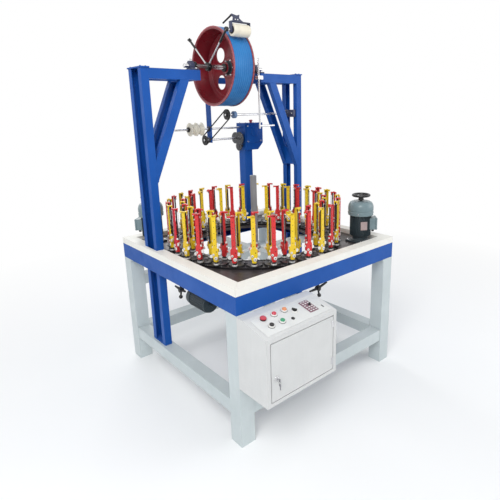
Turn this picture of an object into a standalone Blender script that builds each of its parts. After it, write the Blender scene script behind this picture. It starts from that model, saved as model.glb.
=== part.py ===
"""A net braiding machine: a square steel table with a ring of horn gears and bobbin carriers,
two braced gantries that hold the take-up drum over the middle of the ring, its drive, two
motors and a control cabinet. Metres, +Z up, origin on the floor under the middle of the box."""

import math

import bmesh
import bpy
from mathutils import Matrix, Vector

# Clearances.
SEAT_GAP = 0.0003
SLIDE_GAP = 0.001
SWING_GAP = 0.006
LAP = 0.002

# Table.
TABLE_SIZE = 1.424
BAND_TOP = 0.938
BAND_HEIGHT = 0.108
BAND_FLANGE = 0.100
BAND_WALL = 0.008
RIM_WIDTH = 0.075
RIM_HEIGHT = 0.045
BED_THICKNESS = 0.012
BED_OPENING_LEDGE = 0.043
LEG_SIZE = 0.100
LEG_CAP_SIZE = 0.112
LEG_CAP_THICKNESS = 0.012
RAIL_TOP = 0.268
RAIL_HEIGHT = 0.087
RAIL_WIDTH = 0.090
UPPER_RAIL_TOP = 0.680
UPPER_RAIL_HEIGHT = 0.075

# Ring of horn gears and carriers.
GEAR_COUNT = 32
SECTOR_COUNT = 8
RING_MARGIN = 0.013
RING_MOTOR_GAP = 0.010
TRACK_THICKNESS = 0.010
TRACK_WIDTH = 0.146
TRACK_OVERHANG = 0.066
GEAR_THICKNESS = 0.010
GEAR_GAP = 0.0015
NOTCH_DEPTH = 0.012
CARRIER_FOOT_RADIUS = 0.018
CARRIER_FOOT_HEIGHT = 0.012
CARRIER_BODY_HEIGHT = 0.098
CARRIER_BODY_WIDTH = 0.044
CARRIER_BODY_DEPTH = 0.022
CARRIER_CORE_WIDTH = 0.030
CARRIER_CORE_DROP = 0.010
CARRIER_SHOULDER = 0.012
CARRIER_HEIGHT = 0.315
CARRIER_POST_WIDTH = 0.026
CARRIER_POST_DEPTH = 0.007
CARRIER_ARM_LENGTH = 0.034
CARRIER_ARM_WIDTH = 0.014
CARRIER_ARM_THICKNESS = 0.008
SPINDLE_RADIUS = 0.0045
SPINDLE_OFFSET = 0.009

# Bars under the ring and the grey tube at its centre.
CROSS_BAR_WIDTH = 0.050
CROSS_BAR_HEIGHT = 0.060
CENTRE_TUBE_RADIUS = 0.0225
CENTRE_TUBE_BORE = 0.0185
CENTRE_TUBE_TOP = 1.440

# Gantries, each of two parallel channel frames.
CHANNEL_WEB = 0.052
CHANNEL_FLANGE = 0.040
CHANNEL_WALL = 0.005
GANTRY_SETBACK = 0.5095
GANTRY_PITCH = 0.1350
GANTRY_PLATE = 0.008
GANTRY_TOP = 2.158
BEAM_DEPTH = 0.065
LEFT_BEAM_END = -0.262
RIGHT_BEAM_END = 0.268
BRACE_WEB = 0.060
BRACE_FOOT_Z = 1.435
BRACE_TOP_X = 0.352
COLUMN_CAP_OVERHANG = 0.006

# Take-up drum and its dead shaft.
DRUM_AXIS_Z = 2.192
DRUM_NEAR = -0.108
DRUM_WIDTH = 0.172
DRUM_LIP_RADIUS = 0.268
DRUM_LAGGING_RADIUS = 0.262
DRUM_FLANGE_RADIUS = 0.270
DRUM_FLANGE_WIDTH = 0.014
DRUM_LIP_WIDTH = 0.006
DRUM_SHELL = 0.012
DRUM_WEB_OFFSET = 0.142
DRUM_WEB = 0.008
DRUM_STEP_RADIUS = 0.200
DRUM_STEP = 0.012
DRUM_HOLE_COUNT = 4
DRUM_HOLE_RADIUS = 0.055
DRUM_HOLE_CIRCLE = 0.135
DRUM_HUB_RADIUS = 0.040
DRUM_HUB_LENGTH = 0.060
SHAFT_RADIUS = 0.0150
BORE_CLEARANCE = 0.0010
SHAFT_LEFT = -0.335
SHAFT_RIGHT = 0.345
COLLAR_RADIUS = 0.028
COLLAR_WIDTH = 0.014
PILLOW_WIDTH = 0.038
PILLOW_BOSS_RADIUS = 0.030
PILLOW_FOOT = 0.010
PILLOW_INSET = 0.004
ROD_HUB_OFFSET = 0.032
ROD_RADIUS = 0.006
ROD_LENGTH = 0.300
ROD_EYE_RADIUS = 0.015

# Press roller over the drum.
ROLLER_RADIUS = 0.040
ROLLER_LENGTH = 0.134
ROLLER_ANGLE_DEG = 138.0
ROLLER_LIFT = 0.008
ROLLER_PIN_RADIUS = 0.006
ROLLER_PIN_REACH = 0.010
ROLLER_END_GAP = 0.005
BRACKET_WALL = 0.006
BRACKET_HALF_WIDTH = 0.016
BRACKET_RISE = 0.053
BRACKET_TAIL = 0.055

# Take-up drive at the rear of the table.
DRIVE_POST_SIZE = 0.080
DRIVE_POST_X = 0.400
DRIVE_BOX_WIDTH = 0.190
DRIVE_BOX_DEPTH = 0.120
DRIVE_BOX_BOTTOM = 1.565
DRIVE_BOX_TOP = 1.790
DRIVE_BOX_CHAMFER = 0.055
DRIVE_LINE_INSET = 0.037
GUIDE_SHAFT_Z = 1.755
GUIDE_SHAFT_RADIUS = 0.008
GUIDE_SHAFT_LEFT = -0.270
GUIDE_PULLEY_RADIUS = 0.052
GUIDE_PULLEY_LENGTH = 0.118
GUIDE_PULLEY_RIGHT = -0.024
GUIDE_GROOVE = 0.014
GUIDE_COLLAR_RADIUS = 0.020
GUIDE_COLLAR_WIDTH = 0.012
COLLAR_GAP = 0.002
EYE_RELIEF = 0.020
HANGER_WIDTH = 0.055
HANGER_THICKNESS = 0.012
HANGER_X = 0.045
HANGER_BOTTOM = 1.645
ARM_SIZE = 0.045
ARM_X = 0.310
ARM_Z = 2.125
CROSS_SHAFT_Z = 1.862
CROSS_SHAFT_LEFT = -0.014
CROSS_SHAFT_RADIUS = 0.008
SPROCKET_RADIUS = 0.036
SPROCKET_WIDTH = 0.010
BELT_X = 0.000
BELT_THICKNESS = 0.004
LOWER_PULLEY_Z = 1.668
BEARING_SIZE = 0.060
GEAR_STUB_RADIUS = 0.009
CHANGE_GEARS = ((0.034, 0.048), (-0.040, 0.052))
CHANGE_GEAR_WIDTH = 0.010
CHANGE_GEAR_STEP = 0.011
CHANGE_GEAR_SPACING = 0.030

# Motors on the front right and rear left corners of the bed.
MOTOR_INSET = 0.092
MOTOR_FLANGE = 0.150
MOTOR_FLANGE_THICKNESS = 0.012
MOTOR_RADIUS = 0.076
MOTOR_CORE = 0.069
MOTOR_RIB_COUNT = 20
MOTOR_NECK_RADIUS = 0.055
MOTOR_NECK_TOP = 0.045
MOTOR_BODY_TOP = 0.200
FAN_COVER_RADIUS = 0.091
FAN_COVER_HEIGHT = 0.100
FAN_COVER_BEVEL = 0.016
TERMINAL_BOX_SIZE = 0.095
TERMINAL_BOX_DEPTH = 0.050
TERMINAL_BOX_HEIGHT = 0.085
TERMINAL_BOX_Z = 0.095
WHEEL_RADIUS = 0.066
WHEEL_RIM_RADIUS = 0.007
WHEEL_LIFT = 0.040
WHEEL_HUB_RADIUS = 0.016
WHEEL_SHAFT_RADIUS = 0.010
WHEEL_SHAFT_REACH = 0.024
WHEEL_SPOKES = 3

# Control cabinet on the front left corner.
CABINET_WIDTH = 0.526
CABINET_DEPTH = 0.245
CABINET_BOTTOM = 0.390
CABINET_TOP = 0.824
CABINET_STRIP = 0.060
CABINET_FRONT_TOP = 0.782
CABINET_WALL = 0.015
DOOR_MARGIN_X = 0.024
DOOR_MARGIN_TOP = 0.026
DOOR_MARGIN_BOTTOM = 0.022
DOOR_THICKNESS = 0.016
DOOR_GAP = 0.005
HINGE_RADIUS = 0.006
LOCK_RADIUS = 0.012
LOCK_HEIGHT = 0.135
LOCK_REACH = 0.008
KEY_REACH = 0.032
KEY_WIDTH = 0.022
PANEL_WIDTH = 0.470
PANEL_LENGTH = 0.150
PANEL_THICKNESS = 0.003
PANEL_BUTTONS = (
    (-0.175, 0.030, 0.019),
    (-0.105, 0.034, 0.015),
    (-0.035, 0.036, 0.015),
    (0.035, 0.034, 0.015),
    (-0.150, -0.032, 0.015),
    (-0.080, -0.030, 0.015),
    (-0.018, -0.028, 0.010),
)
BUTTON_HEIGHT = 0.018
KEYPAD_ACROSS = (0.070, 0.165)
KEYPAD_UP = (-0.030, 0.040)
KEYPAD_THICKNESS = 0.004
KEYPAD_KNOB = (0.118, 0.018, 0.009)

# Small motor and clamp knobs under the table, and the lever rod under the right gantry.
UNDER_MOTOR_INSET = 0.067
UNDER_MOTOR_Z = 0.762
UNDER_MOTOR_FRONT = -0.360
UNDER_MOTOR_BODY = 0.160
UNDER_MOTOR_RADIUS = 0.052
UNDER_COVER_LENGTH = 0.040
UNDER_COVER_RADIUS = 0.058
UNDER_SHAFT_REACH = 0.030
UNDER_SHAFT_RADIUS = 0.010
UNDER_MOUNT_WIDTH = 0.070
UNDER_MOUNT_INSET = 0.030
KNOB_Z = 0.785
KNOB_HUB_RADIUS = 0.014
KNOB_HUB_LENGTH = 0.030
KNOB_STEM_RADIUS = 0.009
KNOB_ARM_RADIUS = 0.010
KNOB_TIP_RADIUS = 0.006
KNOB_BALL_RADIUS = 0.013
FRONT_KNOB_X = -0.040
FRONT_KNOB_INSET = 0.037
FRONT_KNOB_ARMS = ((-0.075, 0.000), (0.082, 0.020))
LEFT_KNOB_Y = -0.085
LEFT_KNOB_INSET = 0.027
LEFT_KNOB_ARMS = ((0.075, 0.005), (-0.050, 0.005))
KNOB_BALL_SPOT = (0.012, -0.050)
LEVER_X = 0.232
LEVER_STANDOFF = 0.0145
LEVER_BOTTOM = 1.755
LEVER_TOP = 2.262
LEVER_RADIUS = 0.007
LEVER_ARM_Z = 1.775
LEVER_ARM_END = 0.376
LEVER_CLAMP_DEPTH = 0.037
LEVER_CLAMP_HEIGHT = 0.025

HALF_TABLE = TABLE_SIZE / 2
BAND_BOTTOM = BAND_TOP - BAND_HEIGHT
RIM_INNER = HALF_TABLE - RIM_WIDTH
BED_TOP = BAND_TOP + BED_THICKNESS
LEG_INNER = HALF_TABLE - LEG_SIZE
COLUMN_INNER = RIM_INNER
COLUMN_OUTER = RIM_INNER + CHANNEL_WEB
GANTRY_FRONT = HALF_TABLE - GANTRY_SETBACK
GANTRY_BACK = GANTRY_FRONT + GANTRY_PITCH + CHANNEL_FLANGE
DRUM_AXIS_Y = (GANTRY_FRONT + GANTRY_BACK) / 2
COLUMN_TOP = GANTRY_TOP
BEAM_BOTTOM = GANTRY_TOP - BEAM_DEPTH
MOTOR_OFFSET = RIM_INNER - MOTOR_INSET
MOTOR_CORNER = math.hypot(MOTOR_OFFSET - MOTOR_FLANGE / 2, MOTOR_OFFSET - MOTOR_FLANGE / 2)
TRACK_OUTER = min(RIM_INNER - RING_MARGIN, MOTOR_CORNER - RING_MOTOR_GAP)
TRACK_INNER = TRACK_OUTER - TRACK_WIDTH
RING_RADIUS = TRACK_OUTER - TRACK_OVERHANG
BED_OPENING_RADIUS = TRACK_INNER - BED_OPENING_LEDGE
GEAR_RADIUS = RING_RADIUS * math.sin(math.pi / GEAR_COUNT)
BRACE_RUN = COLUMN_INNER - BRACE_TOP_X
DRIVE_LINE_Y = RIM_INNER - DRIVE_LINE_INSET
UNDER_MOTOR_X = UNDER_MOTOR_INSET - HALF_TABLE
FRONT_KNOB_SPOT = (FRONT_KNOB_X, FRONT_KNOB_INSET - HALF_TABLE)
LEFT_KNOB_SPOT = (LEFT_KNOB_INSET - HALF_TABLE, LEFT_KNOB_Y)
LEVER_Y = GANTRY_FRONT - LEVER_STANDOFF
DRUM_FAR = DRUM_NEAR + DRUM_WIDTH
FRONT = -HALF_TABLE


def start_scene():
    """Clears the startup scene and makes the collections and the root empty."""
    for old in list(bpy.data.objects):
        bpy.data.objects.remove(old, do_unlink=True)
    made = []
    for name in ("net_braiding_machine", "cutters"):
        collection = bpy.data.collections.new(name)
        bpy.context.scene.collection.children.link(collection)
        made.append(collection)
    made[1].hide_render = True
    root = bpy.data.objects.new("machine_origin", None)
    root.location = (0, (CABINET_DEPTH + KEY_REACH) / 2, 0)
    made[0].objects.link(root)
    return made[0], made[1], root


PARTS, CUTTERS, MACHINE = start_scene()
FINISHES = {}


def finish(name, color, roughness, metallic=0.0):
    """A Principled material, made once for each name."""
    if name not in FINISHES:
        material = bpy.data.materials.new(name)
        material.use_nodes = True
        shader = material.node_tree.nodes["Principled BSDF"]
        shader.inputs["Base Color"].default_value = (*color, 1.0)
        shader.inputs["Roughness"].default_value = roughness
        shader.inputs["Metallic"].default_value = metallic
        material.diffuse_color = (*color, 1.0)
        FINISHES[name] = material
    return FINISHES[name]


BLUE = finish("blue_paint", (0.03, 0.12, 0.42), 0.35)
GREY = finish("light_grey_paint", (0.62, 0.66, 0.66), 0.45)
CREAM = finish("cream_board", (0.86, 0.84, 0.76), 0.5)
DARK = finish("dark_bed_steel", (0.06, 0.05, 0.05), 0.4, 0.6)
CABINET_GREY = finish("cabinet_grey", (0.70, 0.69, 0.66), 0.5)
RED = finish("red_paint", (0.40, 0.02, 0.03), 0.4)
CARRIER = finish("carrier_plastic", (0.75, 0.12, 0.05), 0.4)
MOTOR = finish("motor_green_grey", (0.16, 0.24, 0.23), 0.5)
BLACK = finish("black_plastic", (0.02, 0.02, 0.02), 0.4)
STEEL = finish("bright_steel", (0.70, 0.70, 0.72), 0.25, 1.0)
IVORY = finish("ivory_nylon", (0.82, 0.78, 0.66), 0.45)
RUBBER = finish("black_rubber", (0.02, 0.02, 0.02), 0.8)


def mesh_of(bm):
    """A mesh datablock from a bmesh, which is freed."""
    mesh = bpy.data.meshes.new("solid")
    bmesh.ops.recalc_face_normals(bm, faces=bm.faces)
    bm.to_mesh(mesh)
    bm.free()
    return mesh


def block(x, y, z):
    """A box between the low and high values given for each axis."""
    bm = bmesh.new()
    size = Vector((x[1] - x[0], y[1] - y[0], z[1] - z[0]))
    centre = Vector((x[0] + x[1], y[0] + y[1], z[0] + z[1])) / 2
    bmesh.ops.create_cube(bm, size=1.0, matrix=Matrix.Translation(centre) @ Matrix.Diagonal((*size, 1.0)))
    return mesh_of(bm)


def rod(start, end, radius, sides=16, end_radius=None):
    """A round bar or a cone between two points."""
    start, end = Vector(start), Vector(end)
    along = end - start
    turn = Vector((0, 0, 1)).rotation_difference(along).to_matrix().to_4x4()
    bm = bmesh.new()
    bmesh.ops.create_cone(
        bm,
        cap_ends=True,
        segments=sides,
        radius1=radius,
        radius2=radius if end_radius is None else end_radius,
        depth=along.length,
        matrix=Matrix.Translation((start + end) / 2) @ turn,
    )
    return mesh_of(bm)


def ball(centre, radius):
    bm = bmesh.new()
    bmesh.ops.create_uvsphere(
        bm,
        u_segments=12,
        v_segments=8,
        radius=radius,
        matrix=Matrix.Translation(centre),
    )
    return mesh_of(bm)


def baked(obj):
    """The evaluated mesh of an object, which is then removed."""
    graph = bpy.context.evaluated_depsgraph_get()
    mesh = bpy.data.meshes.new_from_object(obj.evaluated_get(graph))
    bpy.data.objects.remove(obj, do_unlink=True)
    return mesh


def helper(mesh_or_curve):
    """A hidden object that carries a shape while it is shaped."""
    obj = bpy.data.objects.new("helper", mesh_or_curve)
    CUTTERS.objects.link(obj)
    obj.hide_render = True
    obj.display_type = "WIRE"
    return obj


def plate(outline, thickness, placement=Matrix.Identity(4)):
    """A flat outline in XY, given thickness along +Z, then placed."""
    curve = bpy.data.curves.new("outline", "CURVE")
    curve.dimensions = "2D"
    curve.fill_mode = "BOTH"
    curve.extrude = thickness / 2
    spline = curve.splines.new("POLY")
    spline.points.add(len(outline) - 1)
    for point, (x, y) in zip(spline.points, outline):
        point.co = (x, y, 0, 1)
    spline.use_cyclic_u = True
    mesh = baked(helper(curve))
    bm = bmesh.new()
    bm.from_mesh(mesh)
    bmesh.ops.remove_doubles(bm, verts=bm.verts, dist=0.00002)
    bmesh.ops.translate(bm, verts=bm.verts, vec=(0, 0, thickness / 2))
    bmesh.ops.transform(bm, matrix=placement, verts=bm.verts)
    return mesh_of(bm)


def turned(profile, steps, placement=Matrix.Identity(4)):
    """A closed outline of (radius, height) turned about Z, then placed."""
    bm = bmesh.new()
    corners = [bm.verts.new((radius, 0, height)) for radius, height in profile]
    for first, second in zip(corners, corners[1:] + corners[:1]):
        bm.edges.new((first, second))
    mesh = bpy.data.meshes.new("profile")
    bm.to_mesh(mesh)
    bm.free()
    obj = helper(mesh)
    screw = obj.modifiers.new("turn", "SCREW")
    screw.axis = "Z"
    screw.steps = steps
    screw.render_steps = steps
    screw.use_merge_vertices = True
    screw.merge_threshold = 0.00005
    made = baked(obj)
    bm = bmesh.new()
    bm.from_mesh(made)
    bmesh.ops.remove_doubles(bm, verts=bm.verts, dist=0.00005)
    bmesh.ops.transform(bm, matrix=placement, verts=bm.verts)
    return mesh_of(bm)


def boolean(mesh, others, operation):
    """The mesh joined with, or cut by, the others in turn."""
    base = helper(mesh)
    for other in others:
        step = base.modifiers.new(operation.lower(), "BOOLEAN")
        step.operation = operation
        step.solver = "EXACT"
        step.object = helper(other)
    operands = [step.object for step in base.modifiers]
    result = baked(base)
    for operand in operands:
        bpy.data.objects.remove(operand, do_unlink=True)
    return result


def fused(mesh, *others):
    return boolean(mesh, others, "UNION")


def cut(mesh, *cutters):
    return boolean(mesh, cutters, "DIFFERENCE")


def gathered(meshes):
    """Solids that don't touch, held in one mesh as one operand."""
    bm = bmesh.new()
    for mesh in meshes:
        bm.from_mesh(mesh)
    return mesh_of(bm)


def moved(mesh, placement):
    copy = mesh.copy()
    copy.transform(placement)
    return copy


def part(name, mesh, material, origin=(0, 0, 0), smooth=False):
    """A named piece of the machine, with its origin at the given point."""
    mesh.transform(Matrix.Translation(-Vector(origin)))
    mesh.name = name
    mesh.materials.clear()
    mesh.materials.append(material)
    obj = bpy.data.objects.new(name, mesh)
    PARTS.objects.link(obj)
    obj.parent = MACHINE
    obj.location = origin
    if smooth:
        mesh.shade_smooth()
        mesh.set_sharp_from_angle(angle=math.radians(35))
    return obj


def along_x(x, y, z):
    """Places a shape turned about Z so that its axis runs along +X from this point."""
    return Matrix.Translation((x, y, z)) @ Matrix.Rotation(math.radians(90), 4, "Y")


def xz_plane(y):
    """Places an outline drawn in X and Z so that its thickness runs along +Y from y."""
    return Matrix.Translation((0, y, 0)) @ Matrix(((1, 0, 0, 0), (0, 0, 1, 0), (0, 1, 0, 0), (0, 0, 0, 1)))


def yz_plane(x):
    """Places an outline drawn in Y and Z so that its thickness runs along +X from x."""
    return Matrix.Translation((x, 0, 0)) @ Matrix(((0, 0, 1, 0), (1, 0, 0, 0), (0, 1, 0, 0), (0, 0, 0, 1)))


def build_legs():
    for side, sx in (("left", -1), ("right", 1)):
        for end, sy in (("front", -1), ("rear", 1)):
            x = sorted((sx * HALF_TABLE, sx * LEG_INNER))
            y = sorted((sy * HALF_TABLE, sy * LEG_INNER))
            top = BAND_BOTTOM - SEAT_GAP
            post = block(x, y, (0, top - LEG_CAP_THICKNESS / 2))
            lap = LEG_CAP_SIZE - LEG_SIZE
            cap_x = sorted((sx * HALF_TABLE, sx * (LEG_INNER - lap)))
            cap_y = sorted((sy * HALF_TABLE, sy * (LEG_INNER - lap)))
            cap = block(cap_x, cap_y, (top - LEG_CAP_THICKNESS, top))
            part(f"leg_{end}_{side}", fused(post, cap), GREY)


def build_rails():
    inside = LEG_INNER - SEAT_GAP
    inset = (LEG_SIZE - RAIL_WIDTH) / 2
    far = HALF_TABLE - inset
    near = far - RAIL_WIDTH
    low = (RAIL_TOP - RAIL_HEIGHT, RAIL_TOP)
    part("rail_left", block((-far, -near), (-inside, inside), low), GREY)
    part("rail_right", block((near, far), (-inside, inside), low), GREY)
    part("rail_front", block((-inside, inside), (-far, -near), low), GREY)
    part("rail_rear", block((-inside, inside), (near, far), low), GREY)
    upper = (UPPER_RAIL_TOP - UPPER_RAIL_HEIGHT, UPPER_RAIL_TOP)
    part("rail_rear_upper", block((-inside, inside), (near, far), upper), GREY)


def band_channel(length):
    """The band's channel along X, its back at -Y and its flanges reaching to +Y."""
    outer = block((-length / 2, length / 2), (0, BAND_FLANGE), (BAND_BOTTOM, BAND_TOP))
    hollow = block(
        (-length, length),
        (BAND_WALL, BAND_FLANGE * 2),
        (BAND_BOTTOM + BAND_WALL, BAND_TOP - BAND_WALL),
    )
    return cut(outer, hollow)


def build_band():
    ends = {"front": 0, "right": 90, "rear": 180, "left": 270}
    for name, turn in ends.items():
        through = name in ("front", "rear")
        length = TABLE_SIZE if through else TABLE_SIZE - 2 * (BAND_FLANGE + SEAT_GAP)
        place = Matrix.Rotation(math.radians(turn), 4, "Z") @ Matrix.Translation((0, -HALF_TABLE, 0))
        part(f"band_{name}", moved(band_channel(length), place), BLUE)


def build_rim():
    z = (BAND_TOP + SEAT_GAP, BAND_TOP + RIM_HEIGHT)
    for name, turn in {"front": 0, "right": 90, "rear": 180, "left": 270}.items():
        inner = RIM_INNER - SEAT_GAP
        outline = [(-HALF_TABLE + SEAT_GAP, -HALF_TABLE), (HALF_TABLE - SEAT_GAP, -HALF_TABLE)]
        outline += [(inner, -RIM_INNER), (-inner, -RIM_INNER)]
        place = Matrix.Rotation(math.radians(turn), 4, "Z") @ Matrix.Translation((0, 0, z[0]))
        board = plate(outline, z[1] - z[0], place)
        if name in ("left", "right"):
            sx = -1 if name == "left" else 1
            x = sorted((sx * (COLUMN_INNER - 0.01), sx * (COLUMN_OUTER + SLIDE_GAP)))
            y = (GANTRY_FRONT - SLIDE_GAP, GANTRY_BACK + SLIDE_GAP)
            board = cut(board, block(x, y, (z[0] - 0.01, z[1] + 0.01)))
        part(f"rim_{name}", board, CREAM)


def build_bed():
    half = RIM_INNER - SEAT_GAP
    bed = block((-half, half), (-half, half), (BAND_TOP + SEAT_GAP, BED_TOP))
    hole = rod((0, 0, BAND_TOP - 0.05), (0, 0, BED_TOP + 0.05), BED_OPENING_RADIUS, 64)
    part("bed_plate", cut(bed, hole), DARK)


def carrier():
    """One bobbin carrier: a foot disc, a stepped plate on the side of -Y with a bent arm at its
    top, the core block behind it and the thread spindle under the arm."""
    back = CARRIER_BODY_DEPTH / 2
    wide = CARRIER_BODY_WIDTH / 2
    narrow = CARRIER_POST_WIDTH / 2
    core_half = CARRIER_CORE_WIDTH / 2
    arm_half = CARRIER_ARM_WIDTH / 2
    low = CARRIER_FOOT_HEIGHT - LAP
    body_top = CARRIER_FOOT_HEIGHT + CARRIER_BODY_HEIGHT
    neck = body_top + CARRIER_SHOULDER
    core_top = body_top - CARRIER_CORE_DROP
    arm_low = CARRIER_HEIGHT - CARRIER_ARM_THICKNESS
    outline = [
        (-wide, low),
        (wide, low),
        (wide, body_top),
        (narrow, neck),
        (narrow, CARRIER_HEIGHT),
        (-narrow, CARRIER_HEIGHT),
        (-narrow, neck),
        (-wide, body_top),
    ]
    front = plate(outline, CARRIER_POST_DEPTH, xz_plane(-back))
    foot = rod((0, 0, -LAP), (0, 0, CARRIER_FOOT_HEIGHT), CARRIER_FOOT_RADIUS, 8)
    core = block((-core_half, core_half), (-back + LAP, back), (low, core_top))
    arm = block(
        (-arm_half, arm_half),
        (-back + LAP, -back + CARRIER_ARM_LENGTH),
        (arm_low, CARRIER_HEIGHT - SEAT_GAP),
    )
    spindle = rod(
        (0, SPINDLE_OFFSET, core_top - LAP),
        (0, SPINDLE_OFFSET, arm_low + LAP),
        SPINDLE_RADIUS,
        6,
    )
    return fused(front, foot, core, arm, spindle)


def horn_gear():
    """A flat gear with four horns and four round notches between them."""
    outline = []
    tip = GEAR_RADIUS - GEAR_GAP / 2
    for quarter in range(4):
        middle = math.radians(90 * quarter)
        for turn, radius in ((-27, tip), (-15, tip - NOTCH_DEPTH), (15, tip - NOTCH_DEPTH), (27, tip)):
            angle = middle + math.radians(turn)
            outline.append((radius * math.cos(angle), radius * math.sin(angle)))
    return plate(outline, GEAR_THICKNESS + LAP)


def track_segment(start, end):
    """A flat arc of the track between two angles."""
    steps = 8
    trim = SEAT_GAP / TRACK_INNER
    angles = [start + trim + (end - start - 2 * trim) * step / steps for step in range(steps + 1)]
    outline = [(TRACK_OUTER * math.cos(a), TRACK_OUTER * math.sin(a)) for a in angles]
    outline += [(TRACK_INNER * math.cos(a), TRACK_INNER * math.sin(a)) for a in reversed(angles)]
    low = BED_TOP + SEAT_GAP
    return plate(outline, TRACK_THICKNESS, Matrix.Translation((0, 0, low)))


def build_ring():
    gear = horn_gear()
    one = carrier()
    pitch = math.tau / GEAR_COUNT
    per_sector = GEAR_COUNT // SECTOR_COUNT
    track_top = BED_TOP + SEAT_GAP + TRACK_THICKNESS
    gear_top = track_top + GEAR_THICKNESS
    for sector in range(SECTOR_COUNT):
        start = sector * per_sector * pitch
        segment = track_segment(start, start + per_sector * pitch)
        gears = []
        carriers = []
        for index in range(per_sector):
            angle = start + (index + 0.5) * pitch
            turn = Matrix.Rotation(angle, 4, "Z")
            gears.append(moved(gear, turn @ Matrix.Translation((RING_RADIUS, 0, track_top - LAP))))
            for side in (1, -1):
                radius = RING_RADIUS + side * GEAR_RADIUS
                facing = Matrix.Rotation(math.radians(90 * side), 4, "Z")
                place = turn @ Matrix.Translation((radius, 0, gear_top)) @ facing
                carriers.append(moved(one, place))
        whole = fused(segment, gathered(gears), gathered(carriers))
        part(f"ring_sector_{sector + 1}", whole, CARRIER)


def build_centre():
    reach = HALF_TABLE - BAND_WALL - SEAT_GAP
    half = CROSS_BAR_WIDTH / 2
    low = BAND_BOTTOM + BAND_WALL + SEAT_GAP
    high = low + CROSS_BAR_HEIGHT
    bar_x = block((-reach, reach), (-half, half), (low, high))
    bar_y = block((-half, half), (-reach, reach), (low, high))
    tube = rod((0, 0, high - 0.01), (0, 0, CENTRE_TUBE_TOP), CENTRE_TUBE_RADIUS, 20)
    bore = rod((0, 0, high + 0.01), (0, 0, CENTRE_TUBE_TOP + 0.01), CENTRE_TUBE_BORE, 20)
    part("centre_stand", cut(fused(bar_x, bar_y, tube), bore), GREY)


def channel_outline(web, flange, wall):
    """A channel section with its back on y = 0 and its flanges reaching to +Y."""
    half = web / 2
    inner = half - wall
    return [
        (-half, 0),
        (half, 0),
        (half, flange),
        (inner, flange),
        (inner, wall),
        (-inner, wall),
        (-inner, flange),
        (-half, flange),
    ]


def channel_pair(web, flange, wall, length):
    """Two upright channels back to front, standing on z = 0, centred on x = 0."""
    outline = channel_outline(web, flange, wall)
    near = plate(outline, length, Matrix.Translation((0, GANTRY_FRONT, 0)))
    mirrored = [(x, -y) for x, y in reversed(outline)]
    far = plate(mirrored, length, Matrix.Translation((0, GANTRY_BACK, 0)))
    return near, far


def build_columns():
    width = (-CHANNEL_WEB / 2, CHANNEL_WEB / 2)
    depth = (GANTRY_FRONT, GANTRY_BACK)
    for side, sx in (("left", -1), ("right", 1)):
        middle = sx * (COLUMN_INNER + COLUMN_OUTER) / 2
        bottom = BAND_TOP + SEAT_GAP
        near, far = channel_pair(CHANNEL_WEB, CHANNEL_FLANGE, CHANNEL_WALL, COLUMN_TOP - bottom + LAP)
        place = Matrix.Translation((0, 0, bottom + SLIDE_GAP))
        base = block(width, depth, (bottom, bottom + GANTRY_PLATE))
        lap = COLUMN_CAP_OVERHANG
        cap_z = (COLUMN_TOP + SEAT_GAP, COLUMN_TOP + SEAT_GAP + GANTRY_PLATE)
        cap = block((width[0] - lap, width[1] + lap), (depth[0] - lap, depth[1] + lap), cap_z)
        column = fused(base, moved(near, place), moved(far, place), cap)
        part(f"gantry_column_{side}", moved(column, Matrix.Translation((middle, 0, 0))), BLUE)
        low = RAIL_TOP + SEAT_GAP
        high = BAND_BOTTOM - SEAT_GAP
        near, far = channel_pair(CHANNEL_WEB, CHANNEL_FLANGE, CHANNEL_WALL, high - low - LAP)
        place = Matrix.Translation((0, 0, low + SLIDE_GAP))
        base = block(width, depth, (low, low + GANTRY_PLATE))
        cap = block(width, depth, (high - GANTRY_PLATE, high))
        foot = fused(base, moved(near, place), moved(far, place), cap)
        part(f"gantry_foot_{side}", moved(foot, Matrix.Translation((middle, 0, 0))), BLUE)


def build_beams():
    inner_face = COLUMN_INNER - SEAT_GAP
    for side, outer, end in (("left", -inner_face, LEFT_BEAM_END), ("right", inner_face, RIGHT_BEAM_END)):
        low, high = sorted((outer, end))
        length = high - low
        near, far = channel_pair(BEAM_DEPTH, CHANNEL_FLANGE, CHANNEL_WALL, length - LAP)
        lay = Matrix.Translation((low + SLIDE_GAP, 0, BEAM_BOTTOM + BEAM_DEPTH / 2)) @ Matrix.Rotation(
            math.radians(90), 4, "Y"
        )
        depth = (GANTRY_FRONT, GANTRY_BACK)
        height = (BEAM_BOTTOM, GANTRY_TOP)
        ends = [
            block((low, low + GANTRY_PLATE), depth, height),
            block((high - GANTRY_PLATE, high), depth, height),
        ]
        beam = fused(ends[0], moved(near, lay), moved(far, lay), ends[1])
        part(f"gantry_beam_{side}", beam, BLUE)


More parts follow.
